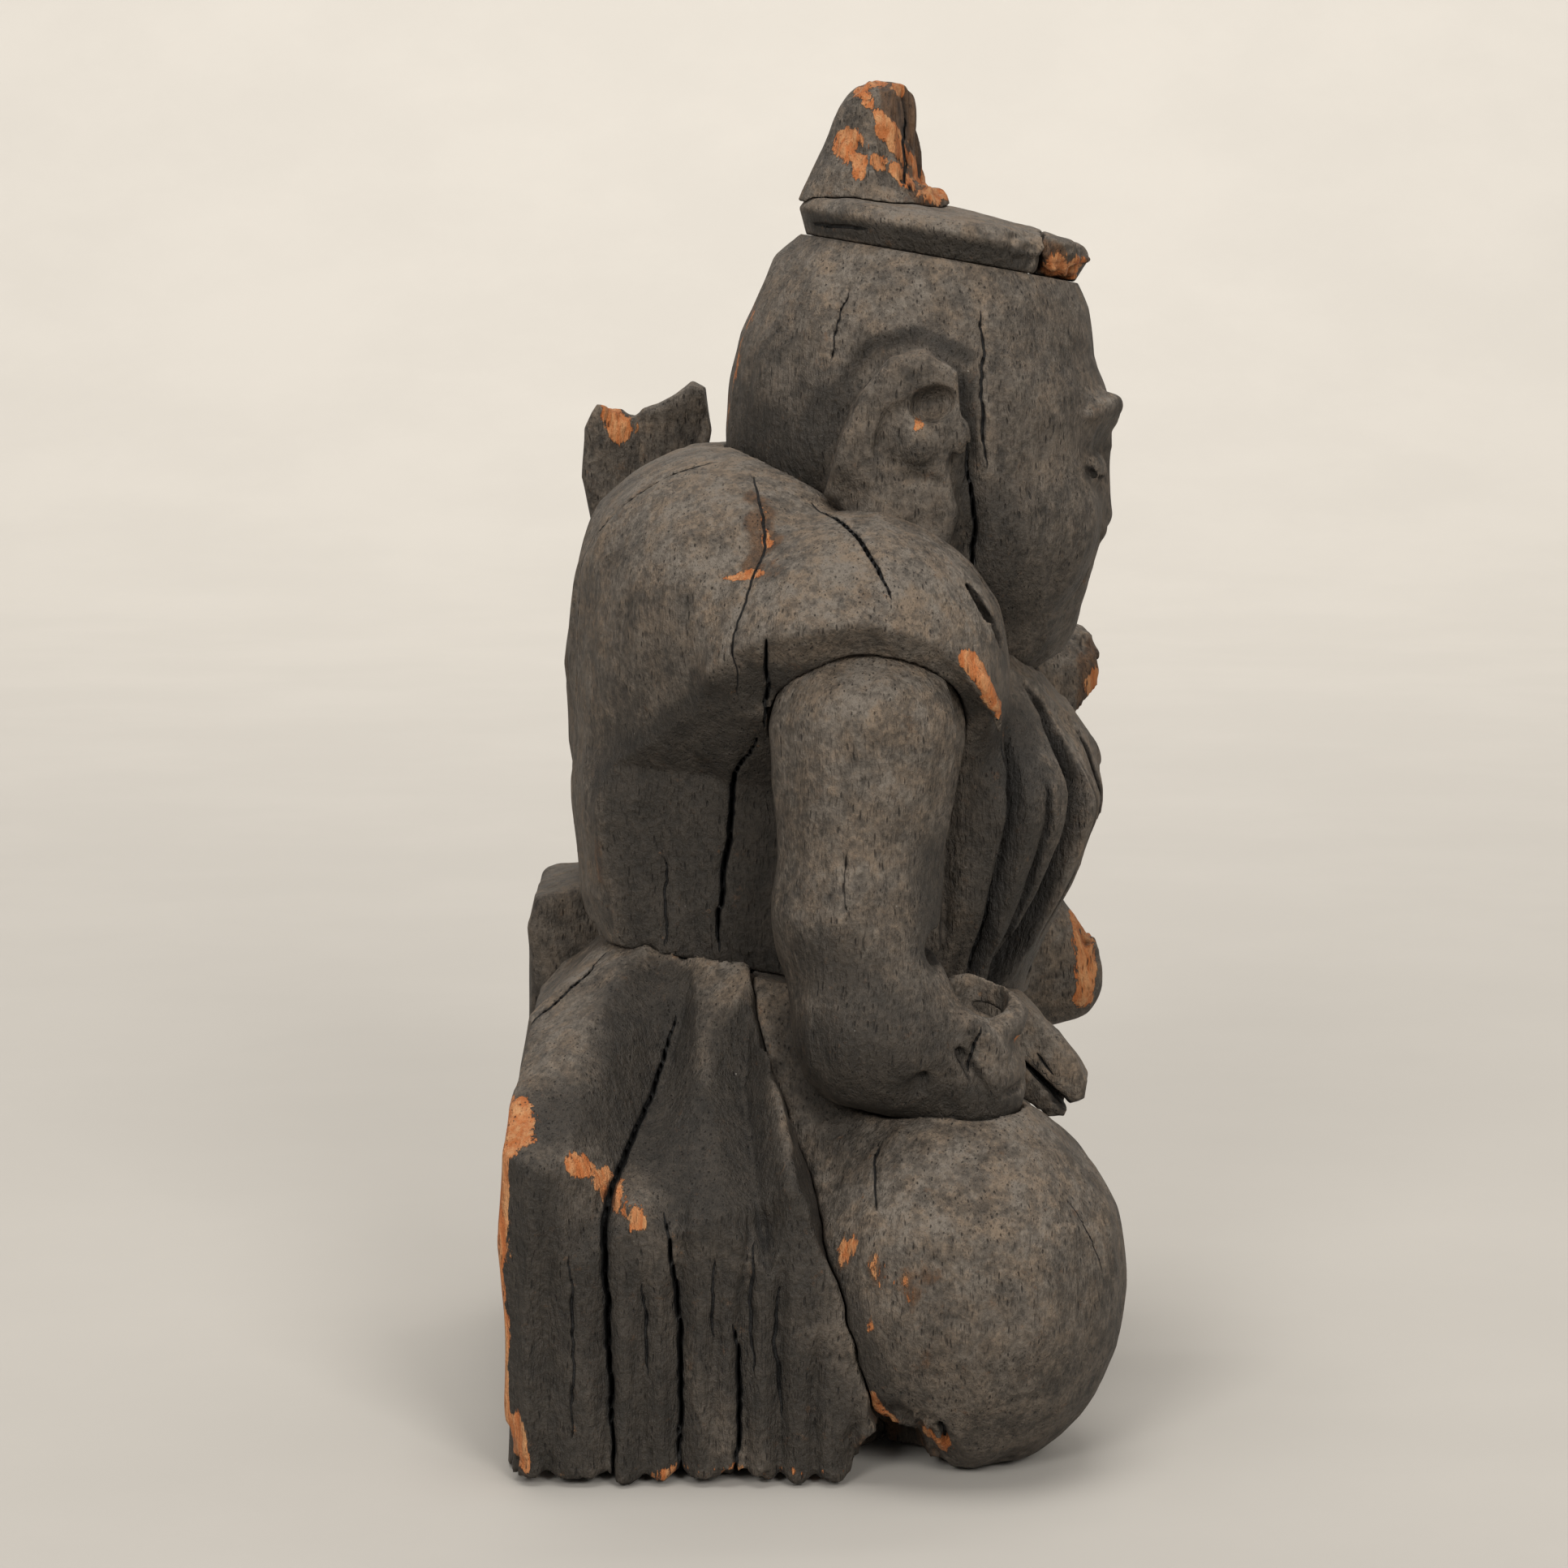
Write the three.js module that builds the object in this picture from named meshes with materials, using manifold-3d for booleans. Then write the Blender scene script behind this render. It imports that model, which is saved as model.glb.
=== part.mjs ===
// A seated figure of carved wood, 175 mm tall, built from blocks that are joined with wooden pegs.
// It sits cross-legged in a loose jacket and a broken tall cap, with a fish under its left arm
// and a fist pierced for a thin rod on its right knee.
// Millimetres. +X is the way the figure faces, +Y is its left side, +Z is up, and the floor is Z = 0.
import * as THREE from "three";
import { mergeVertices } from "three/addons/utils/BufferGeometryUtils.js";
import Module from "manifold-3d";

// ---- Driving dimensions ----
const GAP = 0.3; // glue line left between two blocks
const PEG_RADIUS = 2.4; // whittled pegs that hold the blocks together
const HALF_DEPTH = 40; // from the middle to the back of the base and to the left cuff
const HALF_WIDTH = 60; // from the middle to the outside of each knee
const WAIST = { x: 0, z: 59, slope: -8.5 }; // plane where the trunk sits on the lower blocks
const NECK = { x: 6, z: 111.5, slope: -36.6 }; // plane where the head sits in the shoulders
const KNEE = { x: -0.5, z: 32, slope: -73 }; // plane where the knee block meets the rear blocks
const CAP = { x: 16.1, z: 151.6, tilt: 10, radius: 19.8, side: 18.2, thick: 5.8 };
const CHIP_BREAK = { x: 28.6, z: 152, slope: 78 }; // break across the front of the brim
const CROWN = { x: 8.4, base: 159, top: 175, long: 9.4, wide: 8.2, tip: 3.8 };
const ARM_JOINT = 27; // distance of each arm's inner face from the middle plane
const KNEE_BALL = { x: 17.2, z: 23.5, radii: [21.6, 22.5, 24.6] };
const ROD_HOLE = { x: 19.6, y: -38.6, radius: 3.1, floor: 46, mouth: 66 };

const wasm = await Module();
wasm.setup();

// ---- Shapes ----
const UP = new THREE.Vector3(0, 0, 1);
const ALONG_Y = new THREE.Vector3(0, 1, 0);
const BIG = 400; // side of the blocks that trim
const rad = THREE.MathUtils.degToRad;

function solid(geometry) {
  const bare = geometry.clone();
  bare.deleteAttribute("normal");
  bare.deleteAttribute("uv");
  const merged = mergeVertices(bare, 1e-4);
  const made = new wasm.Manifold(
    new wasm.Mesh({
      numProp: 3,
      vertProperties: merged.attributes.position.array,
      triVerts: new Uint32Array(merged.index.array),
    }),
  );
  if (made.volume() <= 0) throw new Error("a shape is inside out");
  return made;
}

function join(...solids) {
  return solids.reduce((all, next) => all.add(next));
}

function cut(body, ...tools) {
  return tools.reduce((left, tool) => left.subtract(tool), body);
}

// An ellipsoid. lean tips it forward about the Y axis, in degrees.
function ball([x, y, z], [rx, ry, rz], { lean = 0, round = 16 } = {}) {
  const geometry = new THREE.SphereGeometry(1, round, Math.round(round * 0.6));
  geometry.rotateX(Math.PI / 2).scale(rx, ry, rz).rotateY(rad(lean)).translate(x, y, z);
  return solid(geometry);
}

// A column of oval rings stacked along Z, each [z, x, half depth, half width].
function column(rings, { round = 20 } = {}) {
  const steps = rings.length - 1;
  const geometry = new THREE.CylinderGeometry(1, 1, steps, round, steps);
  geometry.translate(0, steps / 2, 0).rotateX(Math.PI / 2);
  const { position } = geometry.attributes;
  for (let i = 0; i < position.count; i++) {
    const [z, x, depth, width] = rings[Math.round(position.getZ(i))];
    position.setXYZ(i, x + position.getX(i) * depth, position.getY(i) * width, z);
  }
  return solid(geometry);
}

const swell = (rings, grow) => rings.map(([z, x, depth, width]) => [z, x, depth + grow, width + grow]);

// A limb with a round end of its own radius at each end.
function limb(from, fromRadius, to, toRadius, { round = 11, flat = 1 } = {}) {
  const start = new THREE.Vector3(...from);
  const axis = new THREE.Vector3(...to).sub(start);
  const length = axis.length();
  const profile = [];
  for (let step = 0; step <= 3; step++) {
    const angle = (step / 3) * (Math.PI / 2);
    profile.push([Math.sin(angle) * fromRadius, -Math.cos(angle) * fromRadius]);
  }
  for (let step = 0; step <= 3; step++) {
    const angle = (step / 3) * (Math.PI / 2);
    profile.push([Math.cos(angle) * toRadius, length + Math.sin(angle) * toRadius]);
  }
  profile[0][0] = 0;
  profile[profile.length - 1][0] = 0;
  const points = profile.map(([radius, height]) => new THREE.Vector2(radius, height));
  const geometry = new THREE.LatheGeometry(points, round);
  const turn = new THREE.Quaternion().setFromUnitVectors(ALONG_Y, axis.normalize());
  geometry.applyQuaternion(turn).scale(1, flat, 1);
  return solid(geometry.translate(start.x, start.y, start.z));
}

function rod(from, to, radius, sides = 12) {
  const start = new THREE.Vector3(...from);
  const axis = new THREE.Vector3(...to).sub(start);
  const geometry = new THREE.CylinderGeometry(radius, radius, axis.length(), sides);
  geometry.translate(0, axis.length() / 2, 0);
  const turn = new THREE.Quaternion().setFromUnitVectors(ALONG_Y, axis.normalize());
  return solid(geometry.applyQuaternion(turn).translate(start.x, start.y, start.z));
}

// A block with the outline drawn in X and Z, from one Y to another.
function plate(outline, fromY, toY) {
  const shape = new THREE.Shape(outline.map(([x, z]) => new THREE.Vector2(x, z)));
  const geometry = new THREE.ExtrudeGeometry(shape, { depth: toY - fromY, bevelEnabled: false });
  return solid(geometry.rotateX(Math.PI / 2).translate(0, toY, 0));
}

// Removes everything on the side of a plane that its normal points to.
function trim(body, [x, y, z], normal) {
  const geometry = new THREE.BoxGeometry(BIG, BIG, BIG).translate(0, 0, BIG / 2);
  const turn = new THREE.Quaternion().setFromUnitVectors(UP, new THREE.Vector3(...normal).normalize());
  return body.subtract(solid(geometry.applyQuaternion(turn).translate(x, y, z)));
}

// A joint plane that slopes in X and Z. side is 1 to keep what is under it and -1 for what is over it.
function trimAt(body, plane, side, gap = 0) {
  const slope = rad(plane.slope);
  const normal = [-Math.sin(slope) * side, 0, Math.cos(slope) * side];
  const place = [plane.x - normal[0] * gap, 0, plane.z - normal[2] * gap];
  return trim(body, place, normal);
}

const onFloor = (body) => trim(body, [0, 0, 0], [0, 0, -1]);

// ---- Forms. grow swells a form, so that a neighbour can be cut to clear it ----
const HEAD_RINGS = [
  [96, 22, 8, 7],
  [101, 21, 15, 13.5],
  [108, 18.6, 19.6, 18.6],
  [116, 15.6, 23.6, 22.2],
  [126, 13.5, 26.2, 23.8],
  [136, 13.7, 26.2, 23.6],
  [143, 14, 25, 22.8],
  [149, 13.2, 21.6, 20.4],
  [155, 11, 15, 15.6],
];

function headForm(grow) {
  const neck = limb([2, 0, 112], 15 + grow, [14, 0, 102], 13 + grow);
  const ears = [-1, 1].map((side) => earForm(side, grow));
  return join(column(swell(HEAD_RINGS, grow)), neck, ...ears);
}

function earForm(side, grow) {
  const shell = ball([10.6, side * 22.6, 129.4], [7.2 + grow, 4 + grow, 11 + grow], { lean: 14, round: 10 });
  const lobe = ball([12.4, side * 23.2, 118.6], [6.8 + grow, 4 + grow, 6.6 + grow], { round: 10 });
  return join(shell, lobe);
}

const TRUNK_RINGS = [
  [52, -1, 27.6, 27],
  [60, -0.4, 30, 30],
  [70, 2, 34, 33.6],
  [81, 2.4, 35.8, 36],
  [91, 0.4, 34.4, 37.4],
  [101, -3.6, 30.2, 38],
  [110, -7.4, 25, 36],
  [118, -9.4, 19.6, 31],
  [124, -10.6, 13, 22],
  [126.4, -11, 7, 12],
];

function trunkForm(grow) {
  const body = column(swell(TRUNK_RINGS, grow));
  return join(body, sleeveForm(-1, grow), sleeveForm(1, grow));
}

// The short sleeve is a dome that is cut open where the arm comes out.
function sleeveForm(side, grow) {
  const dome = ball([3.4, side * 25, 99.4], [20.8 + grow, 20.6 + grow, 21 + grow], { lean: 8 });
  return trim(dome, [0, side * 34, 92 - grow], [0, side * 1.1, -1]);
}

function rightArmForm(grow) {
  const upper = limb([6, -35, 92], 12.6 + grow, [4.2, -39, 68], 10 + grow);
  const elbow = limb([4.2, -39, 68], 10 + grow, [8, -41, 56], 10.6 + grow);
  const fore = limb([8, -41, 56], 10.6 + grow, [18.4, -39, 50], 8.8 + grow);
  const fist = ball([18.4, -38.5, 49.4], [7.6 + grow, 8.2 + grow, 10 + grow]);
  return trim(join(upper, elbow, fore, fist), [0, -ARM_JOINT + grow, 0], [0, 1, 0]);
}

function leftArmForm(grow) {
  const upper = limb([4, 34, 98], 12.4 + grow, [30, 36, 92.6], 7.4 + grow);
  const cuff = limb([20, 35, 94.6], 10.5 + grow, [32.6, 37, 91.6], 8.2 + grow);
  const fore = limb([28, 40, 88], 7 + grow, [25, 45, 68], 6.4 + grow);
  const hand = limb([25, 45, 68], 6.6 + grow, [28, 43.5, 60], 5.6 + grow);
  const arm = trim(join(upper, cuff, fore, hand), [0, ARM_JOINT - grow, 0], [0, -1, 0]);
  return trim(arm, [HALF_DEPTH + grow, 0, 0], [1, 0, 0]);
}

// The fish bends up behind the shoulder: each point of its spine is [x, y, z, half height].
const FISH_SPINE = [
  [30, 38, 51.4, 8.8],
  [19, 39.5, 57, 12],
  [2, 40.5, 62.5, 12.6],
  [-14, 40.5, 73, 11],
  [-22.6, 39.5, 87, 8],
  [-24.6, 37.5, 103, 5.6],
];
const FISH_FLAT = 0.6; // a fish is narrower than it is tall

function fishForm(grow) {
  const stretches = FISH_SPINE.slice(1).map(([x, y, z, half], index) => {
    const [fromX, fromY, fromZ, fromHalf] = FISH_SPINE[index];
    const middle = (y + fromY) / 2;
    const flat = FISH_FLAT + grow / half;
    return limb(
      [fromX, middle, fromZ],
      fromHalf + grow,
      [x, middle, z],
      half + grow,
      { flat, round: 10 },
    );
  });
  const fin = plate(
    [
      [-30.5 - grow, 101],
      [-33 - grow, 115],
      [-33.2 - grow, 125],
      [-30 - grow, 130.8 + grow],
      [-24 - grow, 129.8 + grow],
      [-18.6, 131.4 + grow],
      [-17.4 + grow, 133.4 + grow],
      [-13.8 + grow, 125],
      [-17 + grow, 112],
      [-19 + grow, 101],
    ],
    33 - grow,
    40.5 + grow,
  );
  return trim(join(...stretches, fin), [0, ARM_JOINT + 2 - grow, 0], [0, -1, 0]);
}

// The end of the sash: a tab that hangs out over the lap, split along its grain.
function sashForm(grow) {
  const outline = [
    [17 - grow, 51 - grow],
    [29.4, 39.4 - grow],
    [35 + grow, 42.6],
    [35.4 + grow, 45.4],
    [31.4 + grow, 52 + grow],
    [25 + grow, 57.4 + grow],
    [20 - grow, 58 + grow],
  ];
  return plate(outline, -27.6 - grow, -18.4 + grow);
}

// ---- Pegs: each runs from one block into the next ----
const PEGS = {
  cap_peg: [[9.4, 0, 146], [9.4, 0, 167]],
  neck_peg: [[2.6, 0, 102], [12.4, 0, 119]],
  right_arm_peg: [[5.4, -38, 88], [5.4, -17, 88]],
  left_arm_peg: [[8, 17, 95], [8, 36, 95]],
  fish_peg: [[-4, 19, 68], [-4, 41, 68]],
  right_waist_peg: [[-17, -15, 51], [-17, -15, 73]],
  left_waist_peg: [[-17, 15, 51], [-17, 15, 73]],
  right_knee_peg: [[-10, -16, 24], [12, -16, 24]],
  left_knee_peg: [[-10, 16, 24], [12, 16, 24]],
  rear_peg: [[-27, -10, 28], [-27, 10, 28]],
};

const socketOf = ([from, to]) => {
  const start = new THREE.Vector3(...from);
  const end = new THREE.Vector3(...to);
  const reach = end.clone().sub(start).setLength(GAP);
  return rod(start.sub(reach).toArray(), end.add(reach).toArray(), PEG_RADIUS + GAP);
};
const sockets = Object.values(PEGS).map(socketOf);
const drilled = (body) => cut(body, ...sockets);

// ---- Cap ----
// A shape made flat about the cap's axis, then tipped forward and set on the head.
function setOnHead(geometry) {
  return solid(geometry.rotateY(rad(CAP.tilt)).translate(CAP.x, 0, CAP.z));
}

function brimForm() {
  const { radius, side, thick } = CAP;
  const profile = [
    [0, 0],
    [radius - 2.6, 0],
    [radius, 2.3],
    [radius - 3.4, thick - 0.6],
    [0, thick + 0.6],
  ].map(([r, height]) => new THREE.Vector2(r, height));
  return setOnHead(new THREE.LatheGeometry(profile, 28).rotateX(Math.PI / 2).scale(1, side / radius, 1));
}

function crownForm() {
  const { x, base, top, long, wide, tip } = CROWN;
  const profile = [
    [0, 0],
    [long, 0],
    [long * 0.86, (top - base) * 0.3],
    [long * 0.62, (top - base) * 0.72],
    [tip, (top - base) * 0.95],
    [0, top - base],
  ].map(([r, height]) => new THREE.Vector2(r, height));
  const geometry = new THREE.LatheGeometry(profile, 16).rotateX(Math.PI / 2);
  return solid(geometry.scale(1, wide / long, 1).translate(x, 0, base));
}

const crownJoint = { x: CROWN.x, z: CROWN.base, slope: -CAP.tilt };
const crown = trimAt(crownForm(), { ...crownJoint, z: CROWN.base + 0.3 }, -1);
const wholeBrim = trimAt(brimForm(), crownJoint, 1);
const brim = drilled(trimAt(wholeBrim, CHIP_BREAK, -1, GAP / 2));
const chip = trimAt(wholeBrim, CHIP_BREAK, 1, GAP / 2);

// ---- Head ----
const capSeat = { x: CAP.x, z: CAP.z, slope: -CAP.tilt };
const head = drilled(trimAt(trimAt(headForm(0), capSeat, 1, GAP), NECK, -1));
const headSpace = trimAt(headForm(GAP), NECK, -1, -GAP);

// ---- Arms, fish and sash ----
const rodHole = rod(
  [ROD_HOLE.x, ROD_HOLE.y, ROD_HOLE.floor],
  [ROD_HOLE.x, ROD_HOLE.y, ROD_HOLE.mouth],
  ROD_HOLE.radius,
  16,
);
const rightArm = drilled(rightArmForm(0)).subtract(rodHole);
const fish = drilled(fishForm(0));
const leftArm = drilled(cut(leftArmForm(0), fishForm(GAP), headSpace));
const sashSplit = rod([22.6, -23, 50.6], [34, -23, 37.4], 0.6, 6);
const sash = cut(sashForm(0), rightArmForm(GAP), sashSplit);

// ---- Trunk ----
const trunk = drilled(
  cut(
    trimAt(trunkForm(0), WAIST, -1),
    headSpace,
    rightArmForm(GAP),
    leftArmForm(GAP),
    fishForm(GAP),
    sashForm(GAP),
  ),
);

// ---- Lower blocks ----
function kneeForm() {
  const { x, z, radii } = KNEE_BALL;
  const place = HALF_WIDTH - radii[1];
  const right = ball([x, -place, z], radii, { round: 20 });
  const left = ball([x - 5, place, z - 3], [radii[0], radii[1], radii[2] - 3]);
  const rightThigh = limb([10, -28, 29], 19, [-4, -16, 46], 19);
  const leftThigh = limb([8, 27, 25], 19, [-4, 14, 43], 19);
  const lap = ball([7, 0, 21], [19.6, 36, 24]);
  return onFloor(join(right, left, rightThigh, leftThigh, lap));
}
const kneeBlock = drilled(
  cut(
    trimAt(trimAt(kneeForm(), KNEE, -1), WAIST, 1, GAP),
    rightArmForm(GAP),
    fishForm(GAP),
    sashForm(GAP),
    leftArmForm(GAP),
  ),
);

const RIGHT_REAR = [
  [-HALF_DEPTH + 0.6, 0],
  [12, 0],
  [-2, 59],
  [-14, 64.5],
  [-27.6, 64],
  [-34, 55],
  [-HALF_DEPTH + 0.8, 45],
  [-HALF_DEPTH, 33],
];
const LEFT_REAR = [
  [-HALF_DEPTH + 0.4, 0],
  [12, 0],
  [-2, 61],
  [-24, 66],
  [-33, 68.2],
  [-37.6, 67],
  [-HALF_DEPTH + 0.4, 62],
  [-HALF_DEPTH, 45],
];

// The outer top of each rear block falls away from the waist to the side.
function rearForm(outline, side, outer) {
  const low = side < 0 ? -outer : 0;
  const high = side < 0 ? 0 : outer;
  const block = plate(outline, low, high);
  const sloped = trim(block, [0, side * 30, 63], [0, side * 0.9, 1]);
  const cornered = trim(sloped, [-HALF_DEPTH + 5, side * outer, 0], [-0.75, side, 0]);
  return trimAt(trimAt(cornered, KNEE, 1, GAP), { ...WAIST, x: -40, z: 69.8 }, 1);
}
const trunkSpace = trimAt(trunkForm(GAP), WAIST, -1, -GAP);
const lowerCuts = [trunkSpace, rightArmForm(GAP), fishForm(GAP)];
const rearRight = drilled(cut(trim(rearForm(RIGHT_REAR, -1, 54), [0, -GAP / 2, 0], [0, 1, 0]), ...lowerCuts));
const rearLeft = drilled(cut(trim(rearForm(LEFT_REAR, 1, 50), [0, GAP / 2, 0], [0, -1, 0]), ...lowerCuts));

// ---- The assembly ----
const WOOD = { color: 0x4a4541, roughness: 0.8, metalness: 0 };
const PEG_WOOD = { color: 0x8a6a48, roughness: 0.75, metalness: 0 };
const figure = new THREE.Group();

function place(name, body, look = WOOD) {
  const { numProp, vertProperties, triVerts, numVert } = body.getMesh();
  const points = new Float32Array(numVert * 3);
  for (let i = 0; i < numVert; i++) {
    points.set(vertProperties.subarray(i * numProp, i * numProp + 3), i * 3);
  }
  const geometry = new THREE.BufferGeometry();
  geometry.setAttribute("position", new THREE.BufferAttribute(points, 3));
  geometry.setIndex(new THREE.BufferAttribute(triVerts, 1));
  geometry.computeVertexNormals();
  const mesh = new THREE.Mesh(geometry, new THREE.MeshStandardMaterial(look));
  mesh.name = name;
  figure.add(mesh);
}

place("trunk", trunk);
place("head", head);
place("cap_brim", brim);
place("cap_brim_chip", chip);
place("cap_crown", drilled(crown));
place("right_arm", rightArm);
place("left_arm", leftArm);
place("fish", fish);
place("sash_end", sash);
place("knee_block", kneeBlock);
place("rear_block_right", rearRight);
place("rear_block_left", rearLeft);
for (const [name, [from, to]] of Object.entries(PEGS)) {
  place(name, rod(from, to, PEG_RADIUS), PEG_WOOD);
}

export default figure;
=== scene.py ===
import math
from concurrent.futures import ThreadPoolExecutor

import bpy
import numpy as np
import openvdb
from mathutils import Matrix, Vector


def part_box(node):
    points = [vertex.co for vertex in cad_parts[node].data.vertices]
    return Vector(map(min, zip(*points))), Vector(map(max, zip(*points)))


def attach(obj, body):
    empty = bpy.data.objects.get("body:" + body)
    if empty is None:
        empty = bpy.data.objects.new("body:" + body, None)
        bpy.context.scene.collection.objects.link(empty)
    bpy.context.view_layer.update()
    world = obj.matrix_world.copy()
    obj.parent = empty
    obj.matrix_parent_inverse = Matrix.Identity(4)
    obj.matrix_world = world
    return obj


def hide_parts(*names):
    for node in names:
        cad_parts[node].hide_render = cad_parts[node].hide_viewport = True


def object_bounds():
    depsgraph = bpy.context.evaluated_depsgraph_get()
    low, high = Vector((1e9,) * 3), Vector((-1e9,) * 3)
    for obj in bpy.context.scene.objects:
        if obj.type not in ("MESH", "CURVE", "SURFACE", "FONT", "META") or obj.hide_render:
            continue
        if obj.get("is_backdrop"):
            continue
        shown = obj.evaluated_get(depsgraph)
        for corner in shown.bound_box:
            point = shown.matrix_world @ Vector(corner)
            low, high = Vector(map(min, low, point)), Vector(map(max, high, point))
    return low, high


# A seated figure of soot-darkened wood with a broken tall cap and a fish under its arm.
# Every block is carved as a distance field in millimetres, then turned into one closed mesh.
# +X is the way the figure faces, +Y is its left side.

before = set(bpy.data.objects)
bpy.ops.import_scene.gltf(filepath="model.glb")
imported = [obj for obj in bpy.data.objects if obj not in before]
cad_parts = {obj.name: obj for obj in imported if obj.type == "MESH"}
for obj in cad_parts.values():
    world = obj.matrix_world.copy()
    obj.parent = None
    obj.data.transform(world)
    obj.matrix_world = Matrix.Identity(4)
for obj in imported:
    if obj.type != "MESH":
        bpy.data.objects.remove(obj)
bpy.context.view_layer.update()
print("frame loaded")

carving = {
    "voxel": 0.42,  # size of the carving steps
    "seam": 0.08,  # half of the gap between neighbouring blocks
    "knifeMarks": 0.6,  # depth of the flats left by the knife
    "weather": 0.2,  # depth of the worn, washed-out grain
    "seed": 7,
}

# carving tools

latticeSize = 32  # the noise repeats after this many cells
lastCell = latticeSize - 1
rng = np.random.default_rng(carving["seed"])
lattice = rng.random((latticeSize,) * 3).astype(np.float32) * 2 - 1
jitter = [rng.random((latticeSize,) * 3).astype(np.float32) - 0.5 for _ in range(3)]


def noise(x, y, z, sizeX, sizeY=None, sizeZ=None, shift=0.0):
    sizeY = sizeY or sizeX
    sizeZ = sizeZ or sizeX
    above = 2 * latticeSize  # keeps every cell number above zero
    place = [x / sizeX + shift + above, y / sizeY + shift + above, z / sizeZ + shift + above]
    cell = [v.astype(np.int32) for v in place]
    u, v, w = (a - b for a, b in zip(place, cell))
    u, v, w = u * u * (3 - 2 * u), v * v * (3 - 2 * v), w * w * (3 - 2 * w)
    i0, j0, k0 = (c & lastCell for c in cell)
    i1, j1, k1 = ((c + 1) & lastCell for c in cell)

    def level(k):
        near = lattice[i0, j0, k] * (1 - u) + lattice[i1, j0, k] * u
        far = lattice[i0, j1, k] * (1 - u) + lattice[i1, j1, k] * u
        return near * (1 - v) + far * v

    return level(k0) * (1 - w) + level(k1) * w


def knifeFlats(x, y, z, size, tall):
    # shallow dishes, one for each cut of the knife
    start = 2 * latticeSize - 0.5
    spread = 0.7  # how far a dish may sit from the middle of its cell
    u, v, w = x / size + start, y / size + start, z / tall + start
    i, j, k = u.astype(np.int32), v.astype(np.int32), w.astype(np.int32)
    best = np.full(x.shape, 9, np.float32)
    for a in (0, 1):
        for b in (0, 1):
            for c in (0, 1):
                cell = (i + a) & lastCell, (j + b) & lastCell, (k + c) & lastCell
                du = i + a + spread * jitter[0][cell] - u
                dv = j + b + spread * jitter[1][cell] - v
                dw = k + c + spread * jitter[2][cell] - w
                best = np.minimum(best, du * du + dv * dv + dw * dw)
    return 1 - best * 1.6


def blend(a, b, k):
    # both shapes together, with a fillet of about k millimetres
    h = np.clip(0.5 + 0.5 * (b - a) / k, 0, 1)
    return b + (a - b) * h - k * h * (1 - h)


def keepBoth(a, b, k):
    # only what lies inside both shapes, with its edge eased by k
    return -blend(-a, -b, k)


def ball(x, y, z, centre, radii, lean=0.0):
    # an ellipsoid that leans by some degrees
    x, y, z = x - centre[0], y - centre[1], z - centre[2]
    if lean:
        c, s = math.cos(math.radians(lean)), math.sin(math.radians(lean))
        x, z = x * c - z * s, x * s + z * c
    a, b, e = radii
    k0 = np.sqrt((x / a) ** 2 + (y / b) ** 2 + (z / e) ** 2) + 1e-6
    k1 = np.sqrt((x / a ** 2) ** 2 + (y / b ** 2) ** 2 + (z / e ** 2) ** 2) + 1e-6
    return k0 * (k0 - 1) / k1


def limb(x, y, z, start, startRadius, end, endRadius, flat=1.0):
    # a round bar that changes its radius from one end to the other
    ax, ay, az = start
    bx, by, bz = end[0] - ax, end[1] - ay, end[2] - az
    px, py, pz = x - ax, y - ay, z - az
    t = np.clip((px * bx + py * by + pz * bz) / (bx * bx + by * by + bz * bz), 0, 1)
    dx, dy, dz = px - bx * t, (py - by * t) / flat, pz - bz * t
    radius = startRadius + (endRadius - startRadius) * t
    return (np.sqrt(dx * dx + dy * dy + dz * dz) - radius) * min(1, flat * 1.15)


def chain(x, y, z, points, k=2.0, flat=1.0):
    # points are (x, y, z, radius)
    d = None
    for a, b in zip(points, points[1:]):
        one = limb(x, y, z, a[:3], a[3], b[:3], b[3], flat)
        d = one if d is None else blend(d, one, k)
    return d


def plane(x, y, z, point, normal):
    n = np.array(normal, float) / np.linalg.norm(normal)
    return (x - point[0]) * n[0] + (y - point[1]) * n[1] + (z - point[2]) * n[2]


def slopeNormal(slope, side=1):
    angle = math.radians(slope)
    return (-math.sin(angle) * side, 0, math.cos(angle) * side)


def makeLoft(rings):
    # rings are (z, x, half depth, half width), read through a smoothed table
    rings = np.array(rings, float)
    height = np.linspace(rings[0, 0], rings[-1, 0], 160)
    smoothing = 3.2  # millimetres of height
    reach = max(1, int(smoothing / (height[1] - height[0])))
    kernel = np.hanning(2 * reach + 3)[1:-1]
    kernel /= kernel.sum()
    table = []
    for column in (1, 2, 3):
        raw = np.interp(height, rings[:, 0], rings[:, column])
        padded = np.pad(raw, reach, mode="reflect", reflect_type="odd")
        table.append(np.convolve(padded, kernel, "valid"))
    return height, table


def loft(x, y, z, shape, square=2.0):
    # an upright body through the rings, boxier as square grows
    height, (centre, depth, width) = shape
    cx = np.interp(z, height, centre).astype(np.float32)
    rx = np.interp(z, height, depth).astype(np.float32)
    ry = np.interp(z, height, width).astype(np.float32)
    u, v = np.abs(x - cx) / rx, np.abs(y) / ry
    if square == 2.0:
        k0 = np.sqrt(u * u + v * v) + 1e-6
    else:
        k0 = (u ** square + v ** square) ** (1 / square) + 1e-6
    k1 = np.sqrt((u / rx) ** 2 + (v / ry) ** 2) + 1e-6
    d = k0 * (k0 - 1) / np.maximum(k1, 1e-3) * 0.9
    d = keepBoth(d, z - height[-1], 3.0)
    return keepBoth(d, height[0] - z, 2.0)


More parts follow.
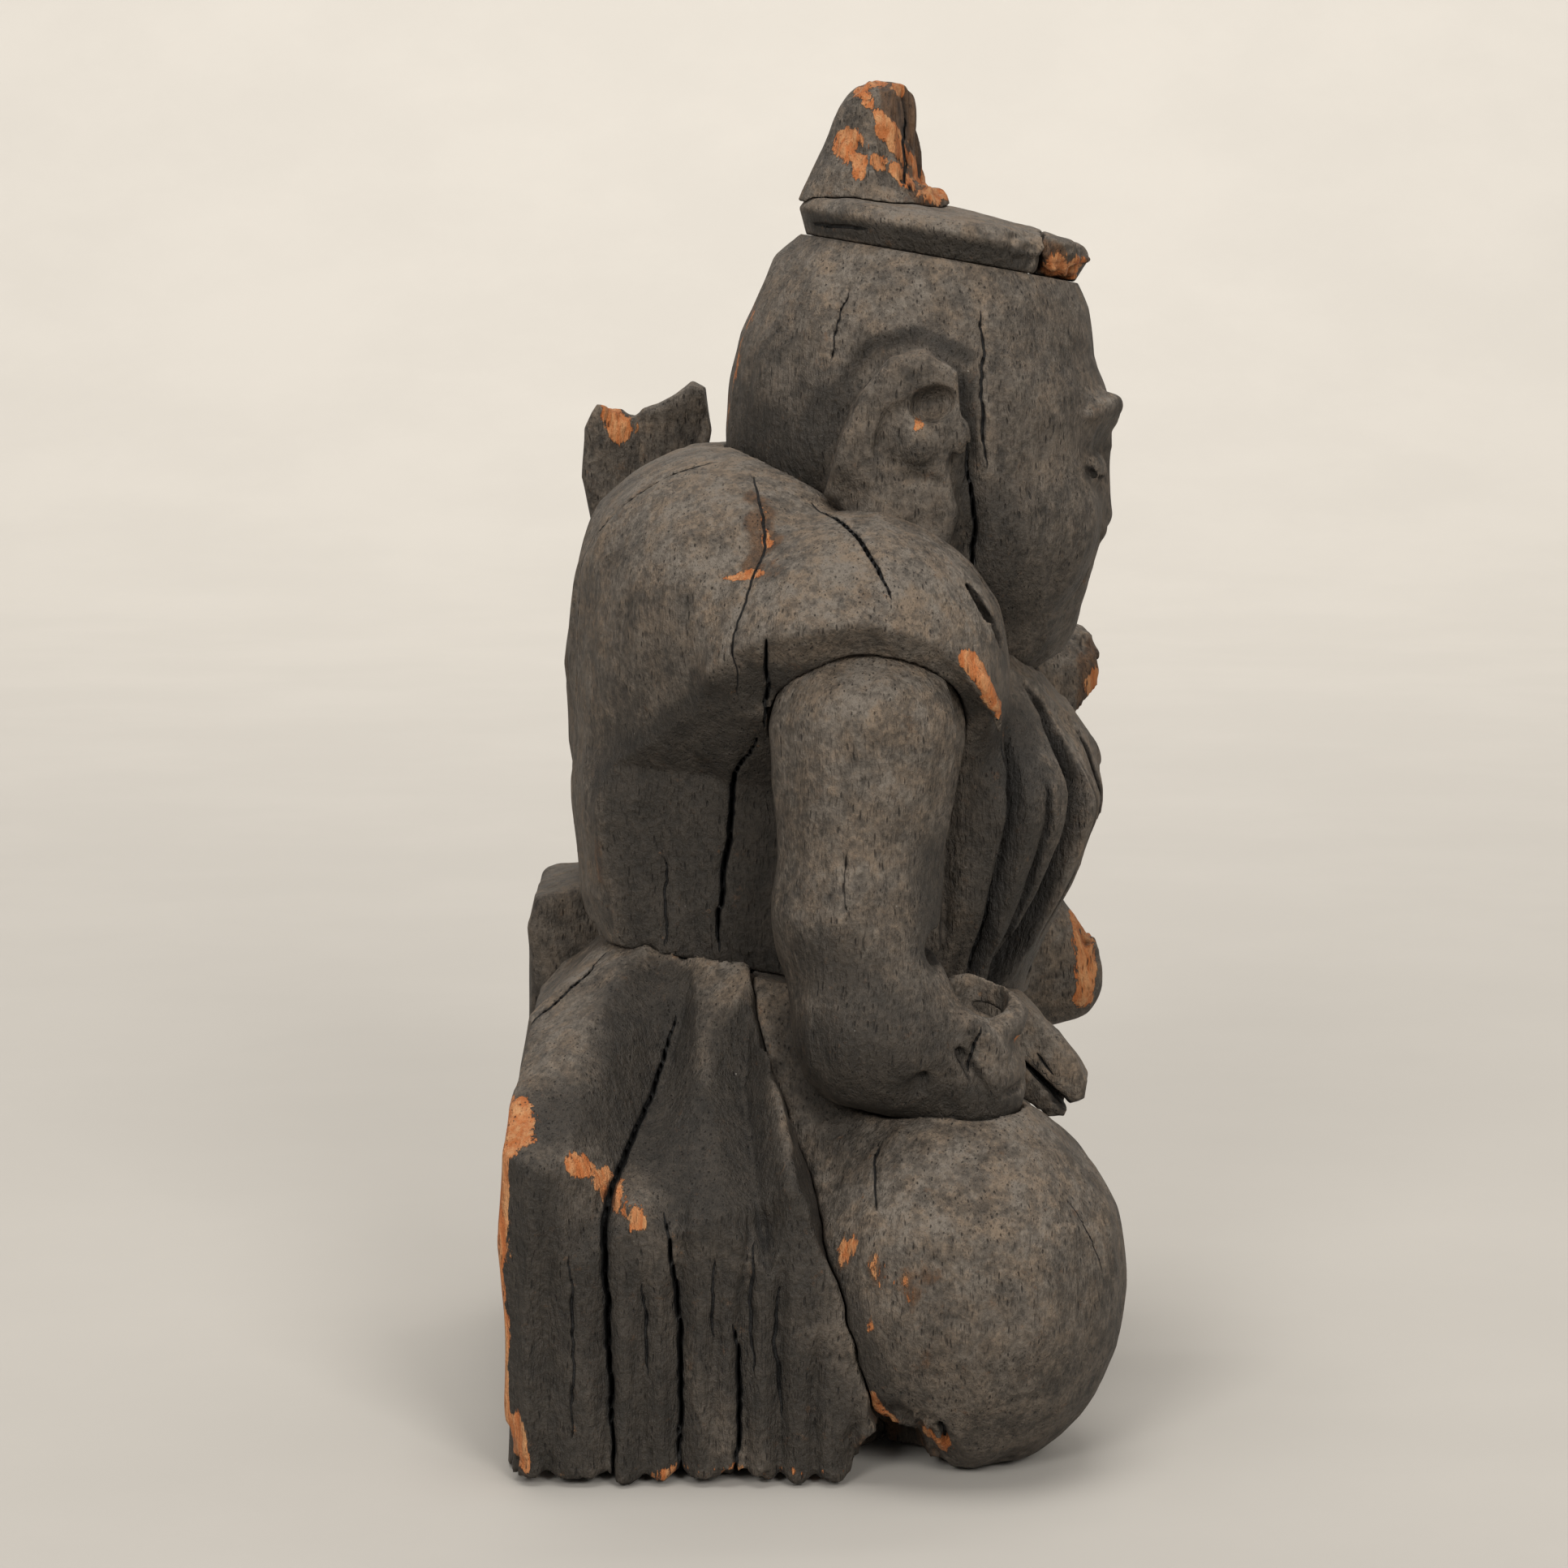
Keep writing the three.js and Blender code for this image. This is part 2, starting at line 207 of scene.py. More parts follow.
def pathDistance(x, y, z, path):
    # distance to a path of 3D points, and how far along it the nearest point lies, from 0 to 1
    best = np.full(x.shape, 1e9, np.float32)
    along = np.zeros(x.shape, np.float32)
    lengths = [math.dist(a, b) for a, b in zip(path, path[1:])]
    total, done = sum(lengths), 0.0
    for (a, b), length in zip(zip(path, path[1:]), lengths):
        ux, uy, uz = (b[i] - a[i] for i in range(3))
        px, py, pz = x - a[0], y - a[1], z - a[2]
        t = np.clip((px * ux + py * uy + pz * uz) / (length * length), 0, 1)
        d = (px - ux * t) ** 2 + (py - uy * t) ** 2 + (pz - uz * t) ** 2
        closer = d < best
        best = np.where(closer, d, best)
        along = np.where(closer, (done + t * length) / total, along)
        done += length
    return np.sqrt(best), along


def reachOf(x, y, z, d, path, margin, skin):
    # which points lie near a path and near the surface
    points = np.array(path)
    low, high = points.min(0) - margin, points.max(0) + margin
    inside = (x > low[0]) & (x < high[0]) & (y > low[1]) & (y < high[1]) & (z > low[2]) & (z < high[2])
    return np.nonzero(inside & (d > -skin) & (d < 3))[0]


def splitSide(x, y, z, path, into, wobble):
    # how far a point lies to one side of a split, how far along it, and how far behind its mouth
    n = np.array(into, float) / np.linalg.norm(into)
    depths = [float(np.dot(p, n)) for p in path]
    flatPath = [np.array(p) - n * s for p, s in zip(path, depths)]
    s = x * n[0] + y * n[1] + z * n[2]
    run = z + x * 0.4
    still = x * 0
    sway = noise(still + 3.1, still + 1.7, run, 2.6) + 0.5 * noise(still + 9.1, still + 4.7, run, 0.9)
    sway = wobble * sway
    fx, fy, fz = x - n[0] * s + sway, y - n[1] * s, z - n[2] * s
    best = np.full(x.shape, 1e9, np.float32)
    along, side = np.zeros(x.shape, np.float32), np.ones(x.shape, np.float32)
    lengths = [float(np.linalg.norm(b - a)) for a, b in zip(flatPath, flatPath[1:])]
    total, done = sum(lengths), 0.0
    for a, b, length in zip(flatPath, flatPath[1:], lengths):
        u = b - a
        px, py, pz = fx - a[0], fy - a[1], fz - a[2]
        t = np.clip((px * u[0] + py * u[1] + pz * u[2]) / (length * length), 0, 1)
        d = (px - u[0] * t) ** 2 + (py - u[1] * t) ** 2 + (pz - u[2] * t) ** 2
        across = np.cross(n, u)
        closer = d < best
        best = np.where(closer, d, best)
        along = np.where(closer, (done + t * length) / total, along)
        side = np.where(closer, np.sign(px * across[0] + py * across[1] + pz * across[2] + 1e-9), side)
        done += length
    middle = np.interp(along, np.linspace(0, 1, len(depths)), depths)
    return np.sqrt(best) * side, along, s - middle


def splitTaper(along):
    # a crack is full in its middle and closes at both ends
    return np.clip(np.sin(np.pi * np.clip(along, 0.0, 1.0)), 0, 1) ** 0.45


splitWobble = 0.35  # how far a split strays from its path


def split(x, y, z, d, path, width, depth, into=(0, 1, 0)):
    # a drying crack: a thin wedge that follows the path and runs in along one direction
    near = reachOf(x, y, z, d, path, depth + 3, depth + 1)
    if not near.size:
        return
    side, along, behind = splitSide(x[near], y[near], z[near], path, into, splitWobble)
    half = max(0.4 * width, 0.5 * carving["voxel"]) * splitTaper(along)  # the mesh can't hold a finer one
    if width < 0.6:  # a hairline stays shallow
        depth = min(depth, 0.8)
    old = d[near]
    wedge = half * (1 + np.minimum(old, 0) / depth) - np.abs(side)
    d[near] = np.maximum(old, np.where(np.abs(behind) < depth + 7, wedge, -9))


def fold(x, y, z, d, path, width, depth, into=(0, 1, 0), k=0.5):
    # a carved valley with straight walls, laid on the surface along one direction
    near = reachOf(x, y, z, d, path, width + 14, depth + 2)
    if not near.size:
        return
    side, along, behind = splitSide(x[near], y[near], z[near], path, into, 0.12)
    half = 0.5 * width * np.clip(along * 3.2, 0, 1) ** 0.8 * np.clip((1 - along) * 6, 0, 1)
    old = d[near]
    valley = (half + np.minimum(old, 0) * 0.5 * width / depth - np.abs(side)) * min(1.0, 2 * depth / width)
    valley = np.where(np.abs(behind) < depth + 12, valley, -9)
    d[near] = keepBoth(old, valley, k)


def tubeAlong(x, y, z, d, path, radius, taper, margin):
    # the points near a path, and how far they lie outside a tube that thins towards its ends
    near = reachOf(x, y, z, d, path, radius + margin, radius * 2 + 2)
    gap, along = pathDistance(x[near], y[near], z[near], path)
    size = radius * np.clip(np.sin(np.pi * np.clip(along, 0.02, 0.98)), 0, 1) ** taper
    return near, gap - size


def groove(x, y, z, d, path, radius, k=0.8, taper=0.35):
    near, outside = tubeAlong(x, y, z, d, path, radius, taper, 3)
    d[near] = keepBoth(d[near], -outside, k)


def ridge(x, y, z, d, path, radius, k=1.2, taper=0.35):
    near, outside = tubeAlong(x, y, z, d, path, radius, taper, 4)
    d[near] = blend(d[near], outside, k)


def dent(x, y, z, d, centre, radii, k=1.5, lean=0.0):
    near = reachOf(x, y, z, d, [centre], max(radii) + 3, max(radii) * 2)
    d[near] = keepBoth(d[near], -ball(x[near], y[near], z[near], centre, radii, lean), k)


def lump(x, y, z, d, centre, radii, k=1.5, lean=0.0):
    near = reachOf(x, y, z, d, [centre], max(radii) + 5, max(radii) * 2)
    d[near] = blend(d[near], ball(x[near], y[near], z[near], centre, radii, lean), k)


def cutSplits(x, y, z, d, splits):
    for item in splits:
        split(x, y, z, d, *item)


def clearOf(x, y, z, d, *masses):
    # cuts away the room that neighbouring blocks take up
    for mass in masses:
        d = np.maximum(d, -(mass(x, y, z) - 2 * carving["seam"]))
    return d


def surfaceWear(x, y, z, d, marks=1.0, size=9.0, tall=13.0):
    reach = 2.5
    near = np.nonzero((d > -reach) & (d < reach))[0]
    px, py, pz = x[near], y[near], z[near]
    change = carving["knifeMarks"] * marks * knifeFlats(px, py, pz, size, tall)
    change += carving["weather"] * noise(px, py, pz, 1.9, 1.9, 9.0)
    change += carving["weather"] * 1.4 * noise(px, py, pz, 7.0, 7.0, 12.0, 5.3)
    d[near] += change


def rotAway(x, y, z, d, centre, radius, depth, grain=2.6):
    # crumbled wood: deep, ragged, and stringy along the grain
    near = reachOf(x, y, z, d, [centre], radius + 2, depth + 4)
    if not near.size:
        return
    px, py, pz = x[near], y[near], z[near]
    away = np.sqrt((px - centre[0]) ** 2 + (py - centre[1]) ** 2 + (pz - centre[2]) ** 2) / radius
    rough = 0.5 + 0.5 * noise(px, py, pz, 1.6, 1.6, grain)
    rough = rough + 0.35 * noise(px, py, pz, 0.8, 0.8, grain * 0.6, 3.7)
    d[near] += np.clip(1.15 - away, 0, 1) * depth * rough


# from field to mesh

pool = ThreadPoolExecutor(4)
chunk = 120000  # points sampled at a time


def sample(field, points):
    # runs a field over many points on all the cores
    def run(start):
        part = points[start:start + chunk]
        return field(*(np.ascontiguousarray(part[:, i]) for i in range(3)))

    return np.concatenate(list(pool.map(run, range(0, len(points), chunk))))


def largestShell(verts, faces):
    # leaves out crumbs that have come loose from the block
    label = np.arange(len(verts))
    a = faces.ravel()
    b = np.roll(faces, 1, axis=1).ravel()
    while True:
        old = label.copy()
        low = np.minimum(label[a], label[b])
        np.minimum.at(label, a, low)
        np.minimum.at(label, b, low)
        label = label[label]
        if np.array_equal(old, label):
            break
    names, counts = np.unique(label, return_counts=True)
    keep = label == names[counts.argmax()]
    index = np.cumsum(keep) - 1
    return verts[keep], index[faces[keep[faces[:, 0]]]]


def fillVolume(field, low, high, voxel):
    # distances on a grid: coarse everywhere, exact only in the blocks of cells near the surface
    side = 8  # cells along a block
    beyond = 4.0  # distances are kept up to this many millimetres
    block = side * voxel
    counts = np.ceil((high - low) / block).astype(int) + 1
    grid = np.stack(np.meshgrid(*(np.arange(n) for n in counts), indexing="ij"), -1).reshape(-1, 3)
    rough = sample(field, (low + (grid + 0.5) * block - voxel / 2).astype(np.float32))
    volume = np.where(rough < 0, -beyond, beyond).reshape(counts).astype(np.float32)
    for axis in range(3):
        volume = np.repeat(volume, side, axis)
    active = grid[np.abs(rough) < block * 1.05 + 1.2]
    inner = np.stack(np.meshgrid(*(np.arange(side),) * 3, indexing="ij"), -1).reshape(-1, 3)
    cells = (active[:, None, :] * side + inner[None]).reshape(-1, 3)
    values = sample(field, (low + cells * voxel).astype(np.float32))
    volume[cells[:, 0], cells[:, 1], cells[:, 2]] = np.clip(values, -beyond, beyond)
    for axis in range(3):  # the outside wall is always air, so that the shell closes
        wall = [slice(None)] * 3
        for end in (0, -1):
            wall[axis] = end
            volume[tuple(wall)] = beyond
    return volume


def addObject(name, data):
    made = bpy.data.objects.new(name, data)
    bpy.context.collection.objects.link(made)
    return made


def carve(name, field, low, high, voxel, marks, splits):
    low, high = np.array(low, float), np.array(high, float)
    solid = openvdb.FloatGrid(4.0)
    solid.copyFromArray(fillVolume(field, low, high, voxel))
    points, _, quads = solid.convertToPolygons(isovalue=0.0, adaptivity=0.0)
    points, quads = largestShell(points.astype(np.float64), quads.astype(np.int64))
    points = low + points * voxel
    mesh = bpy.data.meshes.new(name)
    mesh.from_pydata((points / 1000).tolist(), [], quads.tolist())
    mesh.update()
    mesh.polygons.foreach_set("use_smooth", np.ones(len(quads), bool))
    normals = np.empty(len(points) * 3, np.float32)
    mesh.vertex_normals.foreach_get("vector", normals)
    probe = points.astype(np.float32)
    paintRelief(mesh, field, probe, normals.reshape(-1, 3))
    paintSplits(mesh, probe, splits)
    paintMarks(mesh, probe, marks)
    print(f"{name}: {len(quads)} faces")
    return addObject(name, mesh)


def paint(mesh, name, values):
    layer = mesh.attributes.new(name, "FLOAT", "POINT")
    layer.data.foreach_set("value", np.asarray(values, np.float32))


relief = {  # distance to look, and its share in the result
    # hollow later paints shade into the colour
    "hollow": ((1.0, 0.3), (2.6, 0.35), (5.5, 0.35)),
    "edge": ((0.9, 0.5), (2.2, 0.5)),
}


def paintRelief(mesh, field, probe, normals):
    # how deep each point lies in a hollow, and how sharply it stands out
    hollow, edge = np.zeros(len(probe)), np.zeros(len(probe))
    for t, share in relief["hollow"]:
        hollow += share * np.clip((t - sample(field, probe + normals * t)) / t, 0, 1)
    for t, share in relief["edge"]:
        edge += share * np.clip((t + sample(field, probe - normals * t)) / t, 0, 1)
    paint(mesh, "hollow", hollow)
    paint(mesh, "edge", edge)


def paintSplits(mesh, probe, splits):
    # the distance to each split and its half width, for a line finer than the mesh
    lineSide, lineHalf = np.full(len(probe), 2.0), np.zeros(len(probe))
    px, py, pz = (probe[:, i] for i in range(3))
    for path, width, depth, *into in splits:
        near = reachOf(px, py, pz, px * 0, path, depth + 3, 9)
        into = into[0] if into else (0, 1, 0)
        side, along, behind = splitSide(px[near], py[near], pz[near], path, into, splitWobble)
        half = 0.42 * width * splitTaper(along) * np.clip((1.7 - np.abs(side)) / 0.5, 0, 1)
        closer = (np.abs(side) < np.abs(lineSide[near])) & (np.abs(behind) < depth + 7)
        lineSide[near[closer]] = side[closer]
        lineHalf[near[closer]] = half[closer]
    paint(mesh, "lineSide", lineSide)
    paint(mesh, "lineHalf", lineHalf)


markReach = {  # how much a mark's depth counts, and how far it reaches beyond its radius
    "bare": (0.15, 1.25), "rot": (0.35, 1.0), "dust": (0.35, 1.0), "soot": (0.35, 1.0),
}


def paintMarks(mesh, probe, marks):
    px, py, pz = (probe[:, i] for i in range(3))
    for mask, (flat, wide) in markReach.items():
        value = np.zeros(len(probe))
        for path, radius, strength in marks.get(mask, []):
            path = [(p[0], p[1] * flat, p[2]) for p in path]
            path.append((path[-1][0], path[-1][1], path[-1][2] + 0.01))
            gap, _ = pathDistance(px, py * flat, pz, path)
            value = np.maximum(value, strength * np.clip(1.3 - gap / (radius * wide), 0, 1))
        if mask in ("bare", "rot") and mask in marks:
            ragged = 0.5 * noise(px, py, pz, 2.2, 2.2, 6.0)
            value = np.clip((value + ragged * (value > 0.02) - 0.3) * 1.7, 0, 1)
        paint(mesh, mask, value)


def boxOf(node, grow=3.0):
    low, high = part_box(node)
    return [v * 1000 - grow for v in low], [v * 1000 + grow for v in high]


# joint planes that the blocks share

waist = {"point": (0, 0, 59), "normal": slopeNormal(-8.5)}
neckCut = {"point": (6, 0, 111.5), "normal": slopeNormal(-36.6)}
kneeCut = {"point": (-0.5, 0, 32), "normal": slopeNormal(-73)}
capSeat = {"point": (16.1, 0, 151.6), "normal": slopeNormal(-10)}


def jointPlane(x, y, z, cut):
    return plane(x, y, z, cut["point"], cut["normal"])


def kneeSeam(x, y, z):
    # the split between the knees and the rear blocks wanders along the grain
    still = x * 0 + 2.3
    sway = jointPlane(x, y, z, kneeCut) + 1.0 * noise(still, y, z, 9.0)
    return sway + 0.5 * noise(still, y, z, 2.4, 2.4, 2.4, 3.3)


# head

head = {
    "rings": [
        (95, 20, 7, 7), (101, 19.4, 14, 13.5), (108, 17.4, 19, 18.6), (116, 14.9, 23.2, 22.4),
        (126, 13, 25.7, 23.9), (135, 13.4, 25.8, 23.6), (142, 14.2, 24.8, 22.8), (147, 14.9, 23.2, 21.2),
        (151, 14.4, 20.6, 19.2), (154.5, 11.4, 17.4, 16.8), (160, 8, 11, 11),
    ],
    "centre": (13.6, 0, 127),
    "tilt": 9,  # the head nods forward by this many degrees
}
headLoft = makeLoft(head["rings"])


def facePoint(forward, side, up):
    # a place on the face, in the head's own tilted axes
    angle = math.radians(head["tilt"])
    c, s = math.cos(angle), math.sin(angle)
    cx, cy, cz = head["centre"]
    return (cx + forward * c + up * s, cy + side, cz - forward * s + up * c)


ear = {
    "outline": [(13, 140.6), (8.6, 139.4), (4.6, 134.6), (2, 127.6), (0.4, 121.6), (3.6, 118.2),
                (9.4, 116.6),
                (13.6, 113.2), (16.8, 114.6), (18, 119.4), (16.6, 125.6), (18.2, 131.6), (17.6, 137.4)],
    "reach": 28.2,  # how far the ear stands from the middle of the head
}


def headMass(x, y, z):
    d = loft(x, y, z, headLoft, 2.15)
    d = blend(d, limb(x, y, z, (2, 0, 112), 15, (14, 0, 102), 13), 3)
    u, r, h = capAxes(x, y, z)
    under = np.clip(-h, 0, 60)
    swell = (9.2 - 2.2 * u / r) * (1 - np.exp(-under / 11)) + 0.3 * np.clip(under - 9, 0, 60)
    return keepBoth(d, (r - 18.7 - swell) * 0.85, 1)  # the skull swells out below the brim


def earMass(x, y, z):
    d = keepBoth(outlineDistance(x, z, ear["outline"]), np.abs(y) - ear["reach"] + 0.06 * (x - 10), 1.5)
    return np.maximum(d, 18 - np.abs(y))


def headField(x, y, z):
    d = headMass(x, y, z)
    at = facePoint
    # cheeks, brow and chin
    for side in (1, -1):
        lump(x, y, z, d, at(13.5, side * 11.5, -9), (10, 9, 9.5), 5)
        dent(x, y, z, d, at(26.4, side * 8.4, 1.6), (4.2, 6.6, 3.8), 3)
        lump(x, y, z, d, at(21.4, side * 8.2, 0.6), (2.9, 5, 3), 0.9)
        brow = [at(24.4, side * 2.6, 7.4), at(23.8, side * 7.5, 9.4), at(20.6, side * 13.5, 7.6)]
        ridge(x, y, z, d, brow, 1.3, 2.6)
        lid = [at(24.9, side * 3.4, 0.4), at(24.6, side * 8.2, -1.2), at(21.4, side * 13, 0.6)]
        groove(x, y, z, d, lid, 0.6, 0.4)
        lidFold = [at(24.8, side * 4, 3.6), at(24.2, side * 8.4, 4.4), at(21, side * 13, 3.2)]
        groove(x, y, z, d, lidFold, 0.45, 0.8)
        lump(x, y, z, d, at(24.2, side * 2.7, -7.6), (2.2, 1.9, 1.9), 0.8)
        cheekFold = [at(24.2, side * 5.2, -8.4), at(22.6, side * 8.6, -12.6), at(20.2, side * 9.8, -17)]
        groove(x, y, z, d, cheekFold, 0.3, 2)
    lump(x, y, z, d, at(18.4, 0, -20.5), (5.2, 6.4, 5), 3)
    nose = limb(x, y, z, at(21.6, 0, 5.6), 1.7, at(24.4, 0, -5.4), 2.5)
    d = blend(d, nose, 2.2)
    lump(x, y, z, d, at(22.8, 0, -12.6), (2.5, 4.8, 1.5), 1)
    lump(x, y, z, d, at(21.8, 0, -16), (2.4, 4, 1.6), 1)
    mouth = [at(21.4, -5.8, -12.9), at(24.4, -2.6, -14.3), at(25, 0, -14.4), at(24.4, 2.6, -14.3),
             at(21.4, 5.8, -12.9)]
    groove(x, y, z, d, mouth, 0.6, 0.35)
    groove(x, y, z, d, [at(25.2, 0, -8.8), at(25, 0, -11.6)], 0.5, 0.8)
    # the hollow that the ear sits in, then the ear
    for side in (1, -1):
        recess = [(-1.2, side * 22, 118), (0.2, side * 23.8, 127), (3.2, side * 24.4, 135.6),
                  (8, side * 24.6, 141), (14.6, side * 24.4, 142), (19.2, side * 24.4, 137)]
        groove(x, y, z, d, recess, 3.1, 0.5, 0.75)
        front = [(19.6, side * 24.8, 137), (18.8, side * 24.8, 128), (19.6, side * 23.6, 119),
                 (18.6, side * 21, 111)]
        groove(x, y, z, d, front, 2.2, 0.8, 0.4)
    d = blend(d, earMass(x, y, z), 0.4)
    surfaceWear(x, y, z, d, 0.8, 8, 11)
    for side in (1, -1):
        dent(x, y, z, d, (14.2, side * 28.6, 133.2), (3.3, 3.8, 2.5), 0.4, -20)
        scoop = [(12.4, side * 28.2, 134.6), (8.8, side * 28.4, 131.6), (7.8, side * 28.5, 127.4),
                 (10.4, side * 28.4, 124.2), (14.8, side * 27.8, 123.4)]
        groove(x, y, z, d, scoop, 1.35, 0.35, 0.25)
        rim = [(0, side * 22.6, 120), (1.4, side * 24, 127.6), (3.9, side * 24.6, 134.8),
               (8.2, side * 24.9, 140), (13, side * 25, 141.4), (18.2, side * 25, 138),
               (18.9, side * 25, 131.6),
               (17.4, side * 24.8, 125.6), (18.8, side * 24, 119.4), (17.4, side * 22, 113.4)]
        groove(x, y, z, d, rim, 0.95, 0.2, 0.2)
        lump(x, y, z, d, (12.4, side * 27, 128.2), (2.8, 1.8, 3), 0.3)
        lump(x, y, z, d, (17.6, side * 26, 129.2), (1.5, 1.4, 2.4), 0.6)
        dent(x, y, z, d, (1.2, side * 28.6, 121), (4, 2.4, 3.4), 2)
    cutSplits(x, y, z, d, headSplits)
    d = np.maximum(d, jointPlane(x, y, z, capSeat) + carving["seam"])
    return np.maximum(d, -jointPlane(x, y, z, neckCut) + carving["seam"])


headSplits = [
    ([(20.5, -20, 145.2), (20.9, -22, 138), (20.7, -23, 130.8), (21.4, -23, 124.6)], 0.4, 5),
    ([(18.6, -22, 128.6), (19, -22, 123), (19.8, -20, 118.2), (19.6, -18, 111.8),
      (19.5, -16, 106.5)], 0.6, 6),
    ([(3.8, -22, 148), (2.6, -23, 143.5), (1.2, -23, 138)], 0.2, 2),
    ([(30, 16, 146), (31, 17.5, 135), (30.4, 17, 124)], 0.5, 5),
    ([(-6, 14, 150), (-9, 15, 136), (-8.6, 14, 127)], 0.6, 6),
]

# cap

cap = {
    "centre": (16.1, 0, 151.6),
    "tilt": 10,
    "radius": 19.8,
    "side": 18.2,
    "chipBreak": {"point": (28.6, 0, 152), "normal": slopeNormal(78)},
    "crownCentre": (8.4, 0, 159),
}


def capAxes(x, y, z):
    # forward, outward and up, as the tilted cap has them
    angle = math.radians(cap["tilt"])
    c, s = math.cos(angle), math.sin(angle)
    px, pz = x - cap["centre"][0], z - cap["centre"][2]
    u, h = px * c - pz * s, px * s + pz * c
    return u, np.sqrt(u * u + (y * cap["radius"] / cap["side"]) ** 2) + 1e-6, h


def brimMass(x, y, z):
    _, r, h = capAxes(x, y, z)
    rim = cap["radius"]
    # two bevels that meet at the rim, and a top that slopes a little
    under = (r - rim) * 0.894 + (3.3 - h) * 0.447
    upper = (r - rim) * 0.852 + (h - 3.3) * 0.524
    top = (r - rim + 1.7) * 0.11 + (h - 5.2) * 0.99
    return keepBoth(keepBoth(under, upper, 0.25), top, 0.9)


def brimWorn(x, y, z):
    d = brimMass(x, y, z)
    surfaceWear(x, y, z, d, 0.45, 7, 7)
    return np.maximum(d, -capAxes(x, y, z)[2])


crownPlane = {"point": (8.4, 0, 159), "normal": slopeNormal(-10)}


def chipEdge(x, y, z):
    # the ragged break between the brim and its loose front
    return (-jointPlane(x, y, z, cap["chipBreak"]) + 0.7 * noise(x, y, z, 3.4, 3.4, 3)
            + 0.35 * noise(x, y, z, 1.3, 1.3, 1.6, 2.1))


brimSplits = [([(-1.5, -8, 157), (1, -12, 156.5), (6, -15, 155.4)], 0.35, 1.4, (0.2, 0.9, -0.4))]
crownSplits = [([(11.4, -4.2, 170), (11, -5, 165), (11.4, -5.6, 161)], 0.5, 2)]


def brimField(x, y, z):
    d = brimWorn(x, y, z)
    rotAway(x, y, z, d, (27.4, -15.2, 153.4), 3.4, 4.5, 1.2)
    cutSplits(x, y, z, d, brimSplits)
    return np.maximum(d, chipEdge(x, y, z) + 0.25)


def chipField(x, y, z):
    d = brimWorn(x, y, z)
    rotAway(x, y, z, d, (28.6, -15, 151.8), 5, 5, 1.1)
    rotAway(x, y, z, d, (32, -12.5, 148.6), 5.4, 4.4, 1.2)
    rotAway(x, y, z, d, (35, -5, 149), 5, 3, 1.2)
    rotAway(x, y, z, d, (32.4, 9, 148.6), 4.6, 1.6)
    split(x, y, z, d, [(28, -13, 153.4), (31, -12, 151.2), (34, -9, 150)], 0.9, 2.6, (-0.3, 0.8, -0.5))
    return np.maximum(d, 0.25 - chipEdge(x, y, z))


def crownField(x, y, z):
    cx, _, base = cap["crownCentre"]
    h = z - base
    reach = np.interp(h, [-2, 0, 3, 6, 9, 12, 16], [10.7, 10.2, 9.0, 7.9, 6.8, 5.9, 4.6]).astype(np.float32)
    middle = cx - 1.1 + 0.08 * h
    r = np.sqrt((x - middle) ** 2 + (y * 1.1) ** 2)
    d = (r - reach) * 0.88
    d = keepBoth(d, h - 16.1, 3.6)
    surfaceWear(x, y, z, d, 0.6, 7, 9)
    # the front has broken away along the grain
    fibre = 0.9 * noise(x, y, z, 0.9, 0.9, 5) + 0.8 * noise(x, y, z, 2, 2, 6, 4.4)
    broken = plane(x, y, z, (12.4, 0, 166), (1, -0.28, 0.14)) + fibre
    broken = np.minimum(broken, h - 3.4 + 0.3 * (x - 10) + 1.2 * noise(x, y, z, 2.0, 2.0, 1.6, 8.1))
    d = keepBoth(d, broken, 0.5)
    rotAway(x, y, z, d, (8.4, -6.8, 163.6), 4.6, 1.7)
    rotAway(x, y, z, d, (12.6, -6.2, 161), 4.4, 2.4)
    rotAway(x, y, z, d, (3.2, -5.6, 166.6), 3.6, 0.9)
    rotAway(x, y, z, d, (6.8, -2.8, 173), 4.6, 0.9)
    cutSplits(x, y, z, d, crownSplits)
    brim = np.minimum(brimWorn(x, y, z), jointPlane(x, y, z, crownPlane) + 1.9)
    return np.maximum(d, 0.12 - brim)


# trunk

trunk = {
    "rings": [
        (50, -1, 27.4, 27), (60, -0.6, 29.6, 29.6), (70, 1.4, 33.2, 32.4), (80, 2.6, 35.7, 33.8),
        (88, 1.8, 35.4, 34.8), (96, -1.6, 32.4, 36.4), (104, -5.2, 28.2, 37.2), (111, -8, 24.6, 35.6),
        (118, -9.6, 20.6, 31.6), (123, -10.6, 15.4, 25), (127.2, -11.4, 7, 13),
    ],
    "hemHeight": 94.2,
}
trunkLoft = makeLoft(trunk["rings"])


def sleeveDome(x, y, z):
    y2 = np.abs(y)
    d = ball(x, y2, z, (3.6, 26, 99.6), (21.2, 22.4, 20.6), -8)
    return keepBoth(d, hemCut(x, y2, z), 0.4)


def hemCut(x, y2, z):
    # below this slanting face the sleeve and the shoulder are cut away
    return plane(x, y2, z - 0.33 * np.clip(-x - 2, 0, 40), (0, 36.4, trunk["hemHeight"]), (0.04, 1.12, -1))


def trunkMass(x, y, z):
    return blend(loft(x, y, z, trunkLoft, 2.1), sleeveDome(x, y, z), 5.5)


